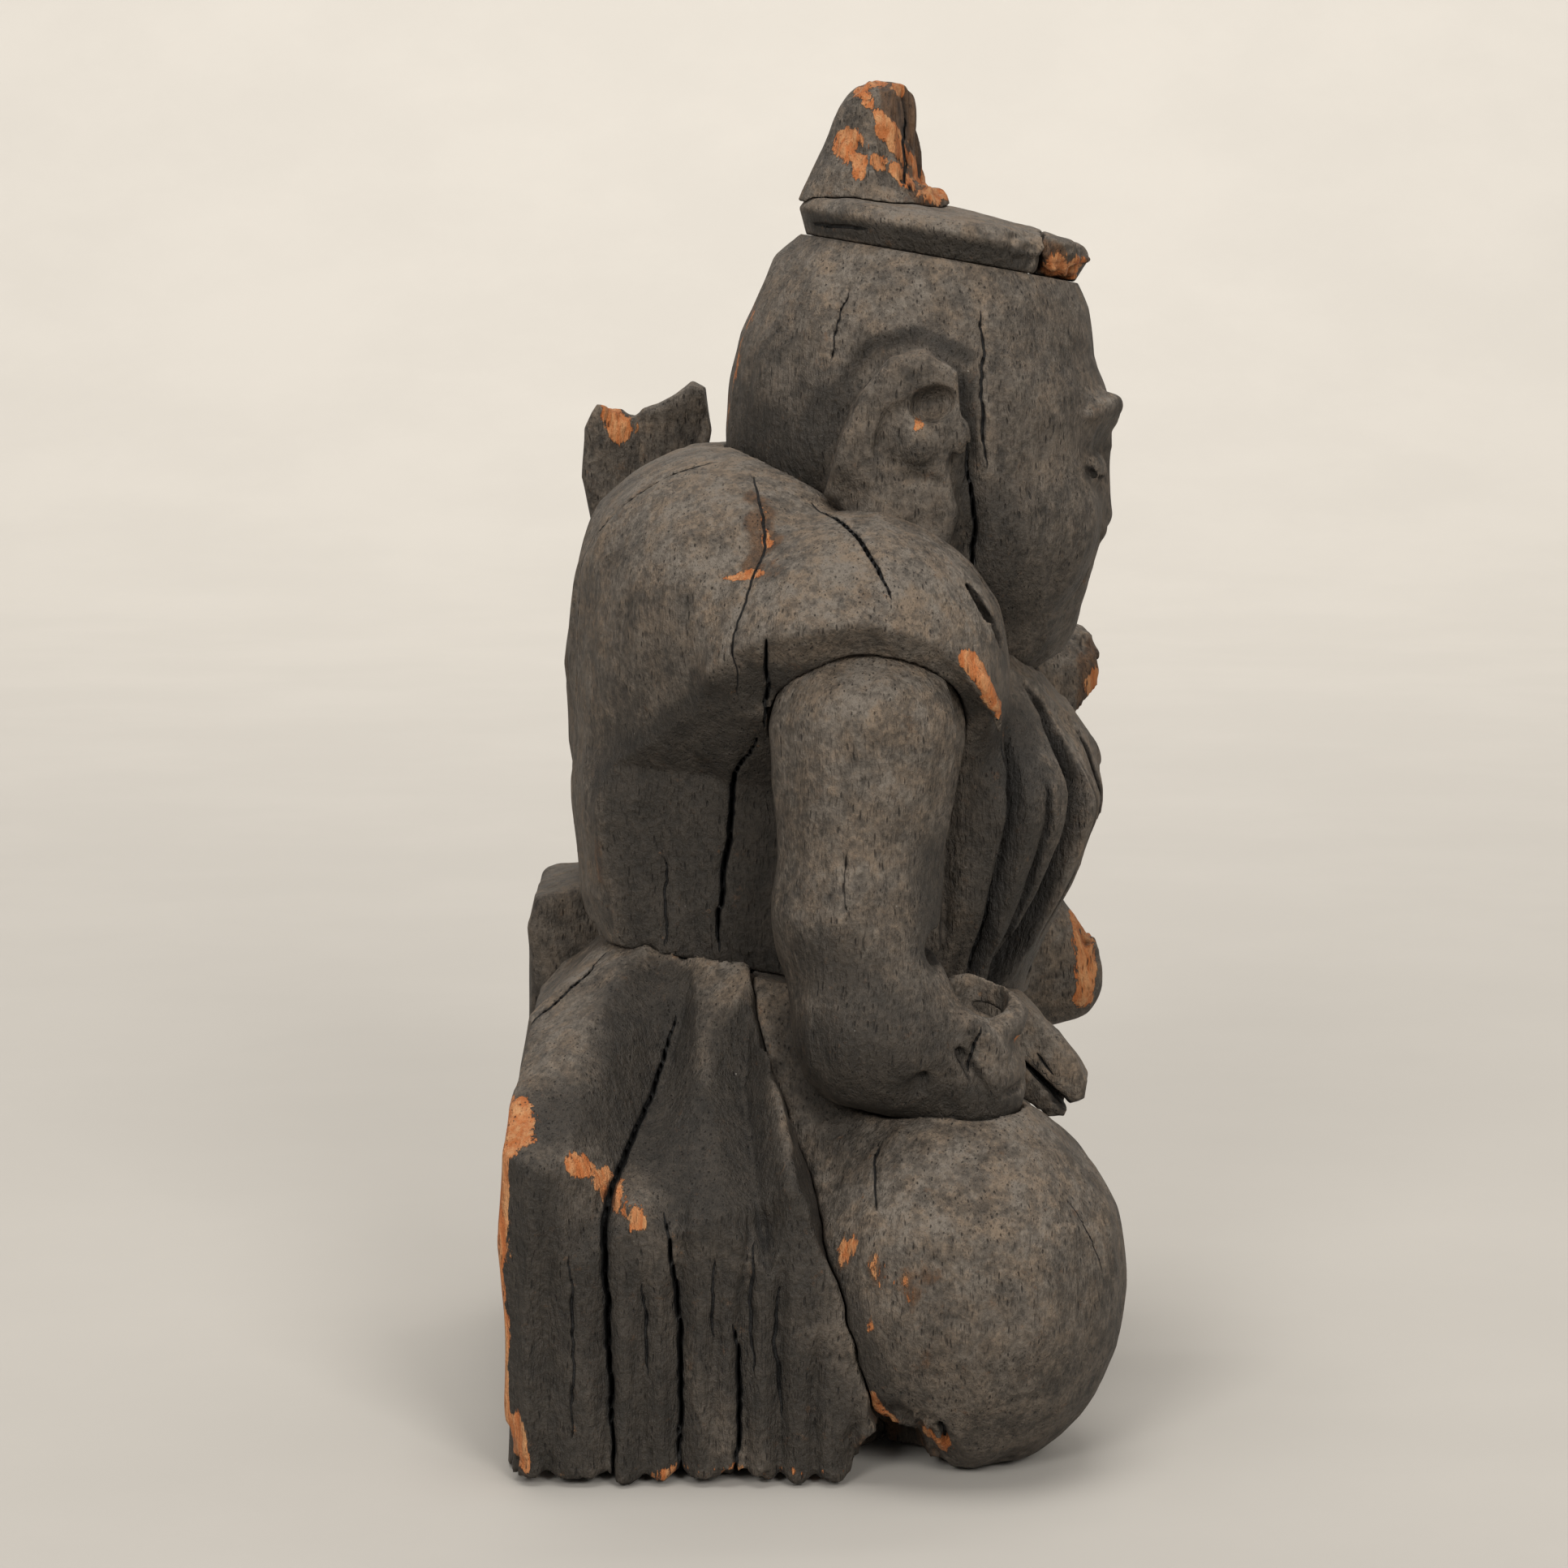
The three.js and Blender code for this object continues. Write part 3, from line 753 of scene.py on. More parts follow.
chestFolds = [  # path, width, depth
    ([(27.6, -22, 98), (29.8, -18, 92.8), (31, -17, 84.2), (29.4, -17, 76.7), (26.6, -17, 68.6),
      (21.6, -19, 59), (18.5, -20, 53)], 4.6, 3.4),
    ([(33.6, -11, 91.5), (35.6, -9.4, 86.5), (36.6, -8.6, 80.9), (35.2, -8.6, 74.4), (32.5, -8.8, 68.4),
      (24.9, -11, 55)], 1.7, 1.6),
    ([(24, -26, 93), (23.2, -26, 82), (21.6, -26, 71), (19, -25, 56)], 2.6, 2),
    ([(27.4, -24, 88), (27.6, -24, 80), (25.6, -24, 70), (21.4, -23, 60)], 1.2, 0.9),
    ([(33.2, -14, 88), (34, -13, 80), (32, -13, 72), (27.2, -15, 62)], 1.1, 0.8),
    ([(17.2, -30, 90), (16.6, -30, 76), (16, -29, 62)], 1.4, 1),
]


def trunkField(x, y, z):
    d = blend(loft(x, y, z, trunkLoft, 2.1), keepBoth(loft(x, y, z, trunkLoft, 3.2), z - 99, 22), 1)
    # flat sides behind the arms
    for side in (-1, 1):
        panel = plane(x, y, z, (-28, side * 23, 74), (-0.16, side, -0.03))
        d = keepBoth(d, np.minimum(panel, hemCut(x, np.abs(y), z)), 0.25)
    d = blend(d, sleeveDome(x, y, z), 2)
    for path, width, depth in chestFolds:
        fold(x, y, z, d, path, width * 1.1, depth * 1.15, (-0.45, 0.9, 0), 0.25)
        fold(x, y, z, d, [(p[0] - 0.3, -p[1], p[2] - 0.8) for p in path], width, depth, (-0.45, -0.9, 0))
    # the jacket's edge over the chest, and the pinched folds in front of the shoulder
    for side in (-1, 1):
        ridge(x, y, z, d, [(24, side * 19, 99.2), (29.6, side * 13, 94), (34.6, side * 6.6, 89.4),
                           (37.6, side * 1.6, 85)], 0.9, 1.6)
        ridge(x, y, z, d, [(15, side * 43, 103.8), (19.4, side * 40.6, 99.6), (22, side * 37.4, 95.4),
                           (22.6, side * 35.4, 91.6)], 1.3, 0.9, 0.3)
        groove(x, y, z, d, [(11.5, side * 38.5, 111.4), (14.6, side * 38.8, 108.2),
                            (17.2, side * 38, 105)], 0.9, 0.4)
        groove(x, y, z, d, [(14.6, side * 35, 113), (18.6, side * 34.8, 109),
                            (22.2, side * 32.6, 103.6)], 0.8, 0.6)
        groove(x, y, z, d, [(18.5, side * 29, 112), (23.4, side * 27, 105), (25.6, side * 24.6, 99)], 1, 1)
    groove(x, y, z, d, [(-22, -23, 62.5), (-30, -12, 63.8), (-31.4, 0, 64.2), (-30, 12, 63.8),
                        (-22, 23, 62.5)], 0.9, 1)
    groove(x, y, z, d, [(-33.6, -4, 99), (-35, -2, 88), (-33.4, -1, 74), (-30.6, 0, 66)], 1.1, 2.2)
    surfaceWear(x, y, z, d, 1, 9.5, 14)
    cutSplits(x, y, z, d, trunkSplits)
    d = clearOf(x, y, z, d, headMass, rightArmMass, leftArmMass, fishMass)
    return np.maximum(d, -jointPlane(x, y, z, waist) + carving["seam"])


trunkSplits = [
    ([(-8.8, -24, 126), (-7.5, -30, 120.9), (-7, -34, 116), (-8.7, -38, 111.2), (-10.8, -40, 104.3),
      (-10.7, -41, 99.5)], 0.45, 6, (0.1, 0.8, -0.6)),
    ([(-1.1, -28, 123.8), (2.9, -33, 119), (5.9, -38, 114.2), (8.8, -43, 108.6)], 0.6, 6, (0, 0.8, -0.6)),
    ([(-30.7, -12, 113.5), (-26.3, -16, 119), (-19.9, -18, 123.8),
      (-13.6, -18, 126.5)], 0.6, 4, (0.5, 0.5, -0.7)),
    ([(-6.7, -42, 105), (-6.7, -40, 100.2), (-6.9, -37, 92.8)], 0.6, 6),
    ([(-7.8, -34, 91.5), (-10.9, -33, 86.2), (-11.9, -32, 76.7), (-12.7, -31, 70.3), (-13, -30, 62.5)],
     0.85, 8),
    ([(-20, -27, 75), (-19.6, -27.5, 68), (-20, -27, 63)], 0.35, 3),
    ([(-33, 6, 112), (-35, 7, 98), (-34.4, 7.6, 84), (-31.6, 8, 70)], 0.8, 7, (1, 0, 0)),
    ([(-27, -10, 118), (-32.4, -11, 104), (-32.6, -12, 92)], 0.4, 4, (1, 0.3, 0)),
    ([(-12, 32, 92), (-13.4, 32.4, 80), (-12.8, 31, 66)], 0.8, 7, (0, -1, 0)),
    ([(-9, 30, 121), (-8, 36, 113), (-9.6, 39, 103)], 0.6, 5, (0, -0.8, -0.6)),
    ([(22.4, -25.5, 91), (22.1, -26, 80.9), (21, -25, 70.1), (19.5, -24, 60)], 0.5, 5, (-0.4, 0.9, 0)),
    ([(38.2, 3, 84), (38, 3.6, 77), (35, 4, 69)], 0.5, 5, (-1, 0, 0)),
]

# right arm

rightArm = {
    "hole": (19.6, -38.6),  # the rod stands here
    "holeRadius": 3.15,
    "holeFloor": 46,
}


def rightArmMass(x, y, z):
    upper = limb(x, y, z, (5.9, -36, 92), 12.6, (4.3, -39.4, 70), 9.9)
    elbow = limb(x, y, z, (4.3, -39.4, 70), 9.9, (6.6, -41.2, 56), 10.2)
    fore = limb(x, y, z, (6.8, -41.2, 55.6), 9.9, (17.6, -39.4, 49.6), 7.9)
    d = blend(blend(upper, elbow, 3), fore, 3)
    d = blend(d, ball(x, y, z, (18, -38.6, 49.6), (7.8, 8, 9.8), -12), 2.4)
    return np.maximum(d, y + 27)


def rightArmField(x, y, z):
    d = rightArmMass(x, y, z)
    # a dimpled elbow and a crease at its inside
    groove(x, y, z, d, [(14.8, -46, 66.4), (13.4, -41, 66), (12.6, -34, 66.6)], 1.6, 2)
    groove(x, y, z, d, [(12.6, -47.8, 52), (11, -49.6, 47), (10.4, -48, 43.6)], 0.9, 2)
    surfaceWear(x, y, z, d, 0.9, 8, 12)
    # fingers wrap round the hole, and the thumb closes over them
    for i, height in enumerate((53.4, 49.4, 45.4)):
        groove(x, y, z, d, [(26.4, -34.4, height), (26.4, -40.2, height - 0.4),
                            (22.8, -45.6, height - 1.2)], 0.55, 0.7)
    groove(x, y, z, d, [(14.4, -46.4, 56), (17.6, -47, 53), (20.4, -46.8, 48.6), (20.8, -46, 44)], 0.8, 1)
    ridge(x, y, z, d, [(11.4, -42, 55.6), (14.6, -44.4, 57.6), (18.6, -45.6, 56.8),
                       (22.6, -44.6, 53)], 1.5, 1.6)
    rim = [(19.6 + 4.7 * math.cos(t), -38.8 + 4.6 * math.sin(t), 57.4 + 2.4 * math.sin(t))
           for t in (math.radians(30 * i) for i in range(13))]
    ridge(x, y, z, d, rim, 1.9, 1.2, 0)
    hx, hy = rightArm["hole"]
    r = np.hypot(x - hx, y - hy)
    bore = np.maximum(r - rightArm["holeRadius"], rightArm["holeFloor"] - z)
    funnel = (r - rightArm["holeRadius"] - np.clip(z - 54.0, 0, 4) * 0.2) * 0.9
    d = keepBoth(d, -np.minimum(bore, np.maximum(funnel, 53.0 - z)), 0.7)
    cutSplits(x, y, z, d, rightArmSplits)
    return d


rightArmSplits = [
    ([(19.8, -42.4, 57), (19.4, -46, 55), (18.2, -47, 51)], 0.35, 2),
    ([(3.4, -48, 80), (2.6, -49, 75), (3, -49, 70)], 0.13, 1),
]


# left arm

def leftArmMass(x, y, z):
    cuff = limb(x, y, z, (6, 33, 98.4), 12.4, (32.6, 36.6, 92.6), 8.8)
    cuff = keepBoth(cuff, plane(x, y, z, (39.4, 37, 91), (0.92, 0.1, -0.34)), 0.8)
    fore = limb(x, y, z, (29, 40, 90), 6.6, (25.6, 44.8, 70), 5.8)
    hand = ball(x, y, z, (25.6, 45.6, 65), (6.2, 4, 7), -14)
    d = blend(blend(cuff, fore, 1), hand, 2.6)
    return np.maximum(d, 27.6 - y)


def leftArmField(x, y, z):
    d = leftArmMass(x, y, z)
    # the open end of the sleeve, with the wrist coming out of it
    near = np.nonzero((np.abs(d) < 6) & (x > 24))[0]
    px, py, pz = x[near], y[near], z[near]
    hollow = limb(px, py, pz, (30, 37.4, 91.6), 6.6, (44, 38.4, 85.4), 7.4)
    hollow = np.maximum(hollow, 29.0 - px)
    wrist = limb(px, py, pz, (29, 40, 90), 5.6, (25.6, 44.8, 70), 5.6)
    d[near] = np.minimum(keepBoth(d[near], -hollow, 0.6), np.maximum(wrist, d[near]))
    for i in range(3):
        top = (31 - i * 3.4, 48.6, 65.4 - i * 1.2)
        groove(x, y, z, d, [top, (30.2 - i * 3.2, 49.4, 61), (29 - i * 2.9, 48.6, 57.4)], 0.55, 0.5)
    for start, end in (((12, 46, 102), (24, 45.6, 96)), ((16, 41, 108), (28, 40.4, 100))):
        middle = ((start[0] + end[0]) / 2, start[1] + 0.4, (start[2] + end[2]) / 2 + 0.4)
        groove(x, y, z, d, [start, middle, end], 1, 1.2)
    surfaceWear(x, y, z, d, 0.8, 8, 11)
    rotAway(x, y, z, d, (38.5, 34, 97), 5, 2)
    rotAway(x, y, z, d, (38.6, 33, 86), 4, 1.6)
    return clearOf(x, y, z, d, headMass, fishMass)


# fish

fish = {
    "spine": [  # x, y, z, half height
        (34, 38.4, 49.6, 7.6), (28, 38.6, 52.4, 10.8), (18, 39.5, 57, 12.4), (3, 40.5, 62, 12.6),
        (-13, 40.5, 72, 11.2), (-21.8, 39.5, 86, 8.2), (-25, 38.2, 103, 5.6),
    ],
    "flat": 0.62,
    "scale": (3.4, 3.6),  # length and width of one scale
    "tail": [(-27.6, 100), (-31.4, 112), (-33.2, 121), (-33.2, 128), (-31.2, 131.6), (-28, 131.4),
             (-25.6, 130.6), (-22.6, 131.6), (-20, 133), (-17.6, 134.6), (-15.6, 133.6), (-14.4, 127.6),
             (-16.2, 118), (-19.6, 109), (-22, 100)],
}


def outlineDistance(u, v, outline):
    best = np.full(u.shape, 1e9, np.float32)
    inside = np.zeros(u.shape, bool)
    count = len(outline)
    for i in range(count):
        (ax, ay), (bx, by) = outline[i], outline[(i + 1) % count]
        ex, ey = bx - ax, by - ay
        t = np.clip(((u - ax) * ex + (v - ay) * ey) / (ex * ex + ey * ey), 0, 1)
        best = np.minimum(best, (u - ax - ex * t) ** 2 + (v - ay - ey * t) ** 2)
        crosses = (ay > v) != (by > v)
        inside ^= crosses & (u < (bx - ax) * (v - ay) / (by - ay + 1e-9) + ax)
    return np.where(inside, -1, 1) * np.sqrt(best)


def fishMass(x, y, z):
    d = chain(x, y, z, fish["spine"], 3, fish["flat"])
    tail = keepBoth(outlineDistance(x, z, fish["tail"]), np.abs(y - 37.2 + 0.05 * (z - 100)) - 2.6, 1.0)
    d = blend(d, tail, 3.5)
    return np.maximum(d, 29.2 - y)


def fishField(x, y, z):
    d = fishMass(x, y, z)
    near = np.nonzero((np.abs(d) < 3.0) & (y > 31))[0]
    if near.size:
        px, py, pz = x[near], y[near], z[near]
        flatPath = [(p[0], 0, p[2]) for p in fish["spine"]]
        gap, along = pathDistance(px, py * 0, pz, flatPath)
        length = sum(math.dist(a, b) for a, b in zip(flatPath, flatPath[1:]))
        outer = np.where((px - 12) * 0.6 - (pz - 90) > 0, 1.0, -1.0)
        s, h = along * length, gap * outer
        # rows of overlapping scales, behind the gills and before the tail
        row = s / fish["scale"][0]
        column = h / fish["scale"][1] + 0.5 * (np.floor(row) % 2)
        u, v = row - np.floor(row), column - np.floor(column) - 0.5
        scale = 0.42 * (0.5 - np.clip((1 - u) + (v * 1.7) ** 2 * 1.1, 0, 1))
        zone = np.clip((s - 21) / 2, 0, 1) * np.clip((length - 8 - s) / 4, 0, 1)
        d[near] -= scale * zone * (gap < 40)
    # gill cover, eye and mouth
    gill = [(24.5, 46.8, 65.4), (20.6, 47.4, 60), (19.6, 47.6, 53), (22.4, 46.8, 46.6)]
    groove(x, y, z, d, gill, 1, 0.6, 0.3)
    inner = [(27.6, 45.8, 62.6), (24.6, 46.6, 58), (24.4, 46.6, 52), (26.8, 45.6, 47)]
    groove(x, y, z, d, inner, 0.6, 0.6, 0.3)
    dent(x, y, z, d, (29.4, 45.6, 56.2), (3, 2, 3), 0.5)
    lump(x, y, z, d, (29.4, 44, 56.2), (1.9, 1.6, 1.9), 0.3)
    groove(x, y, z, d, [(41.4, 41, 48.4), (37.6, 43.4, 48), (33.4, 44.8, 46.6)], 0.8, 0.5, 0.2)
    # rays of the back fin, a side fin and the rays of the tail
    for i in range(11):
        t = i / 10
        foot = 20 - 34 * t
        rise = 22 * t ** 1.5
        groove(x, y, z, d, [(foot, 43.4, 66 + rise), (foot - 1.2, 41, 71 + rise)], 0.45, 0.4)
    side = [(16.4, 47.2, 55), (8, 48.4, 52.4), (5, 48.2, 56.6)]
    ridge(x, y, z, d, side, 1.3, 1, 0.3)
    for i in range(7):
        top = 129 + (1 if i > 4 else 0)
        for low, middle, high in ((39.6, 39, 38.6), (33.4, 33.6, 33.2)):
            ray = [(-24.8 + i * 0.25, low, 104), (-26.6 + i * 1.2, middle, 116),
                   (-29.6 + i * 2.3, high, top)]
            groove(x, y, z, d, ray, 0.5, 0.4, 0.2)
    surfaceWear(x, y, z, d, 0.6, 8, 9)
    cutSplits(x, y, z, d, fishSplits)
    rotAway(x, y, z, d, (-27.6, 36, 130.4), 4, 1.6)
    rotAway(x, y, z, d, (38, 39, 52), 5, 1.2)
    return np.maximum(d, 29.2 - y)


fishSplits = [
    ([(-10, 48, 76), (-15, 47.6, 82), (-19, 46, 90)], 0.5, 4, (0, -1, 0)),
    ([(-24, 40, 128), (-24.8, 40.4, 120), (-24.6, 41, 112)], 0.6, 2, (0, -1, 0)),
]

# sash end

sash = {
    "outline": [(16.6, 51), (24.8, 44.2), (29.6, 40.6), (31.8, 41.2), (32.6, 42.8), (34.6, 43.4),
                (35, 46.2),
                (31.6, 52), (26, 56.8), (20, 58)],
    "thick": 4.4,
}


def sashField(x, y, z):
    bend = -23.2 + 0.05 * (z - 48) ** 2 * 0.2
    d = keepBoth(outlineDistance(x, z, sash["outline"]), np.abs(y - bend) - sash["thick"], 1.3)
    surfaceWear(x, y, z, d, 0.7, 6, 8)
    cutSplits(x, y, z, d, sashSplits)
    rotAway(x, y, z, d, (29.6, -27.6, 42.2), 3.6, 1.3, 1.2)
    return clearOf(x, y, z, d, rightArmMass)


sashSplits = [
    ([(24.4, -27.4, 51), (28.2, -27.4, 46.8), (33, -27.2, 41.8), (35, -27, 39.6)], 1, 4),
    ([(28.2, -27.4, 50), (30.4, -27.4, 47)], 0.3, 2),
]

# knees and lap

knees = {
    "right": ((17.4, -37.5, 23.2), (21.8, 22.4, 24.6)),
    "left": ((12.4, 38.5, 20.4), (21.4, 21.4, 21.6)),
}


def kneeMass(x, y, z):
    d = ball(x, y, z, *knees["right"]) - 0.6 * np.clip((16 - z) / 12, 0, 1)
    d = blend(d, ball(x, y, z, *knees["left"]), 4)
    d = blend(d, limb(x, y, z, (10, -28, 28), 19, (-4, -17, 47), 19), 5)
    d = blend(d, limb(x, y, z, (8, 27, 24), 19, (-4, 14, 43), 19), 5)
    d = blend(d, ball(x, y, z, (7, 0, 20), (20, 36, 24)), 6)
    return np.maximum(d, -z)


baseHole = {"centre": (8.8, -50, 1.4), "radii": (5, 15, 6.4)}  # rotted out where the blocks meet the ground

kneeFolds = [
    ([(27.5, -12, 36), (32, -19, 27), (33, -24, 16), (28, -26, 4)], 1.5),
    ([(24, -5, 42), (28.5, -11, 30), (28.6, -15, 16), (26, -17, 3)], 1.3),
    ([(27, 3, 40), (27.6, 3, 28), (27.4, 2, 14), (25, 2, 3)], 1.2),
    ([(22.5, 12, 38), (27.6, 17, 27), (28.4, 21, 14), (25, 22, 3)], 1.4),
    ([(24, 20, 40), (30.2, 26, 32), (33, 30, 22), (31, 31, 8)], 1.3),
    ([(6, -46, 46), (2.4, -53, 38), (0.6, -56, 28)], 1),
    ([(12, 50, 38), (5, 56, 30), (2, 57.5, 18)], 1.2),
]


def kneeField(x, y, z):
    d = kneeMass(x, y, z)
    # a waistband over the lap, and the folds of the wide trousers
    ridge(x, y, z, d, [(14, -22, 55), (24, -12, 51), (27, 0, 48), (24, 12, 50),
                       (14, 22, 52)], 2.2, 2.4, 0.2)
    for path, radius in kneeFolds:
        groove(x, y, z, d, path, radius, 2, 0.6)
    surfaceWear(x, y, z, d, 1, 9, 11)
    cutSplits(x, y, z, d, kneeSplits)
    rotAway(x, y, z, d, (9.2, -52, 4), 7.5, 7)
    rotAway(x, y, z, d, (7, -45, 2), 8.5, 8)
    rotAway(x, y, z, d, (24, -48, -0.6), 4.5, 2)
    rotAway(x, y, z, d, (8, 52, 2), 6.5, 4)
    rotAway(x, y, z, d, (24, 0, 0), 5.5, 2.5)
    ragged = 0.8 + 0.8 * noise(x, y, z * 0, 4) + 0.4 * noise(x, y, z * 0, 1.6, 1.6, 1.6, 6)
    d = np.where(z < 4, keepBoth(d, np.clip(ragged, 0, 3) * 0.8 - z, 0.5), d)
    d = clearOf(x, y, z, d, rightArmMass, fishMass)
    dent(x, y, z, d, baseHole["centre"], baseHole["radii"], 0.5)
    opened = 0.06 + 0.14 * np.clip((-y - 44) / 8, 0, 1) * np.clip((58 - z) / 14, 0, 1)
    d = keepBoth(d, opened - kneeSeam(x, y, z), 0.5)
    return np.maximum(d, jointPlane(x, y, z, waist) + carving["seam"])


kneeSplits = [
    ([(8, -52, 44), (6.4, -54, 40), (6.8, -55, 35)], 0.3, 2.5),
    ([(30, -50, 36), (32.6, -49, 31), (34.4, -48, 26)], 0.25, 2, (-0.5, 1, 0)),
    ([(15, -59, 9), (15.4, -59, 5), (14.6, -58, 1)], 0.45, 4),
    ([(26.5, 6, 34), (27, 6.4, 20), (26, 6, 4)], 0.8, 8, (-1, 0, 0)),
    ([(36, -34, 34), (38.6, -33, 24), (37.4, -33, 12)], 0.5, 6, (-1, 0, 0)),
    ([(29.6, 44, 30), (31.4, 43, 20), (30, 42, 8)], 0.45, 5, (-1, 0, 0)),
    ([(20, 57.6, 28), (19, 59, 18), (19.4, 57, 7)], 0.4, 4, (0, -1, 0)),
]

# rear blocks

rear = {
    "right": [(-39.6, 0), (12, 0), (-2, 59), (-14, 64.5), (-27.6, 63.6), (-37.6, 54.4), (-39.4, 45),
              (-40, 33)],
    "left": [(-39.8, 0), (12, 0), (-2, 61), (-24, 66), (-33, 67.8), (-38.6, 66.4), (-39.6, 62), (-40, 45)],
    "outerRight": 54,
    "outerLeft": 50,
}

rightPleats = [  # place of each valley on the outside face, its width and depth, and where it begins
    (-33.8, 5, 1.3, 42), (-26.6, 3.6, 1.5, 38), (-21.8, 4.4, 1.2, 32), (-17.4, 4.4, 1.9, 37), (-13, 3, 1, 31),
    (-9.4, 3.6, 1.7, 35), (-5, 3.2, 1.4, 34), (-0.6, 3, 1.2, 22), (4, 2.6, 1.2, 12),
]


def rearRightField(x, y, z):
    d = keepBoth(outlineDistance(x, z, rear["right"]), np.abs(y + 27) - 27.0, 1.0)
    d = keepBoth(d, plane(x, y, z, (0, -30, 62.5), (0, -0.92, 1)), 0.8)
    d = keepBoth(d, plane(x, y, z, (-36.6, -54, 0), (-0.8, -1, 0)), 0.4)
    # the top falls away in broad cuts that meet in crisp edges
    left = plane(x, y, z, (-38, -53.4, 46), (0.60, -0.88, 1))
    right = plane(x, y, z, (-14, -54, 34), (-0.30, -0.80, 0.72))
    share = np.clip((x + 23) / 7, 0, 1)
    d = keepBoth(d, left * (1 - share) + right * share, 0.4)
    d = keepBoth(d, plane(x, y, z, (-28, -22, 61.4), (-0.5, -0.35, 1)), 0.6)
    fold(x, y, z, d, [(-17.5, -34, 64), (-21, -42, 52), (-27, -52, 38),
                      (-31, -56, 30)], 11, 3, (0.1, 0.8, -0.5), 0.4)
    fold(x, y, z, d, [(-8.8, -32, 61), (-10.4, -42, 50), (-8.6, -52, 40),
                      (-6.6, -56, 28)], 8, 4.2, (0.1, 0.8, -0.5), 0.4)
    for valley, width, depth, top in rightPleats:
        path = [(valley + 0.6, -55, top), (valley - 0.3, -55, top * 0.5), (valley, -55, -8)]
        fold(x, y, z, d, path, width, depth, k=0.25)
    for side, height in ((-12, 52), (-24, 50), (-38, 44)):
        fold(x, y, z, d, [(-41, side, height), (-40.6, side - 1, 26), (-41, side, -6)], 7, 1.8, (1, 0, 0),
             0.4)
    surfaceWear(x, y, z, d, 1, 8.5, 15)
    cutSplits(x, y, z, d, rearRightSplits)
    rotAway(x, y, z, d, (8.4, -54, 3), 6, 5)
    dent(x, y, z, d, baseHole["centre"], baseHole["radii"], 0.5)
    rotAway(x, y, z, d, (-24.6, -51.4, 36.4), 3.4, 1)
    rotAway(x, y, z, d, (-38, -50, 3), 5, 2)
    return finishRear(x, y, z, d, -1)


def bodyMass(x, y, z):
    return np.maximum(trunkMass(x, y, z), -jointPlane(x, y, z, waist))


def finishRear(x, y, z, d, side):
    ragged = 1.3 * noise(x, y, z * 0, 3.6) + 0.7 * noise(x, y, z * 0, 1.3, 1.3, 1.3, 6) + 0.7
    d = np.where(z < 5, keepBoth(d, np.clip(ragged, 0, 3) - z, 0.3), d)
    d = clearOf(x, y, z, d, rightArmMass, fishMass, bodyMass)
    d = keepBoth(d, kneeSeam(x, y, z) + 0.06, 0.4)
    return np.maximum(d, carving["seam"] - y * side)


rearRightSplits = [
    ([(-18.5, -36, 55.5), (-21.4, -44, 46), (-25.3, -50, 38.6), (-26.8, -52, 33.9), (-26.5, -53, 23.9),
      (-26.1, -53, 13.7), (-25.6, -53, -2)], 0.9, 9),
    ([(-19.3, -51, 34.7), (-17.7, -53, 23.9), (-17.3, -53, 13.7), (-17.8, -53, -2)], 0.75, 8),
    ([(-10.7, -53, 20.8), (-10, -53, 11.6), (-10.7, -53, -1)], 0.7, 6),
    ([(-8.2, -52, 31), (-8.7, -53, 23.9), (-8.4, -53, 14.7)], 0.5, 5),
    ([(-5.2, -52, 25.7), (-5.7, -53, 17.8), (-4.7, -53, 8.5)], 0.5, 5),
    ([(-13.2, -52, 29), (-13.4, -53, 18.8)], 0.4, 4),
    ([(-37.4, -30, 56.4), (-32.4, -26, 59.4), (-27.5, -20, 62.6)], 0.6, 5, (0, 0.6, -0.8)),
    ([(-31, -54, 30), (-30.6, -54, 18), (-31, -54, 6)], 0.35, 4),
    ([(-22, -54, 26), (-21.4, -54, 14)], 0.35, 3),
    ([(-40, -16, 50), (-40, -17, 36), (-40, -16.4, 20), (-40, -17, 2)], 0.8, 8, (1, 0, 0)),
    ([(-40, -32, 34), (-40, -31, 20), (-40, -32, 1)], 0.6, 6, (1, 0, 0)),
    ([(-40, -6, 30), (-40, -6.6, 16), (-40, -6, 1)], 0.4, 5, (1, 0, 0)),
]


def rearLeftField(x, y, z):
    d = keepBoth(outlineDistance(x, z, rear["left"]), np.abs(y - 25) - 25.0, 1.6)
    d = keepBoth(d, plane(x, y, z, (0, 32, 67), (-0.06, 0.92, 1)), 1.4)
    d = keepBoth(d, plane(x, y, z, (-34.6, 50, 0), (-0.8, 1, 0)), 1.4)
    groove(x, y, z, d, [(-14, 34, 68), (-13, 44, 57), (-12, 52, 44)], 5.4, 3, 0.4)
    for i, valley in enumerate((-32, -24.5, -16.4, -8, -1)):
        path = [(valley, 51.8, 42 - i), (valley - 0.4, 51.2, 22), (valley + 0.3, 51.6, -2)]
        groove(x, y, z, d, path, 2.2, 2.4, 0.25)
    for place, height in ((10, 58), (22, 60), (36, 52)):
        groove(x, y, z, d, [(-41, place, height), (-40.6, place + 1, 30), (-41, place, 0)], 1.9, 2.4, 0.3)
    surfaceWear(x, y, z, d, 1.1, 8.5, 15)
    cutSplits(x, y, z, d, rearLeftSplits)
    rotAway(x, y, z, d, (-38, 46, 2), 6, 3)
    rotAway(x, y, z, d, (8, 48, 2), 6, 4)
    return finishRear(x, y, z, d, 1)


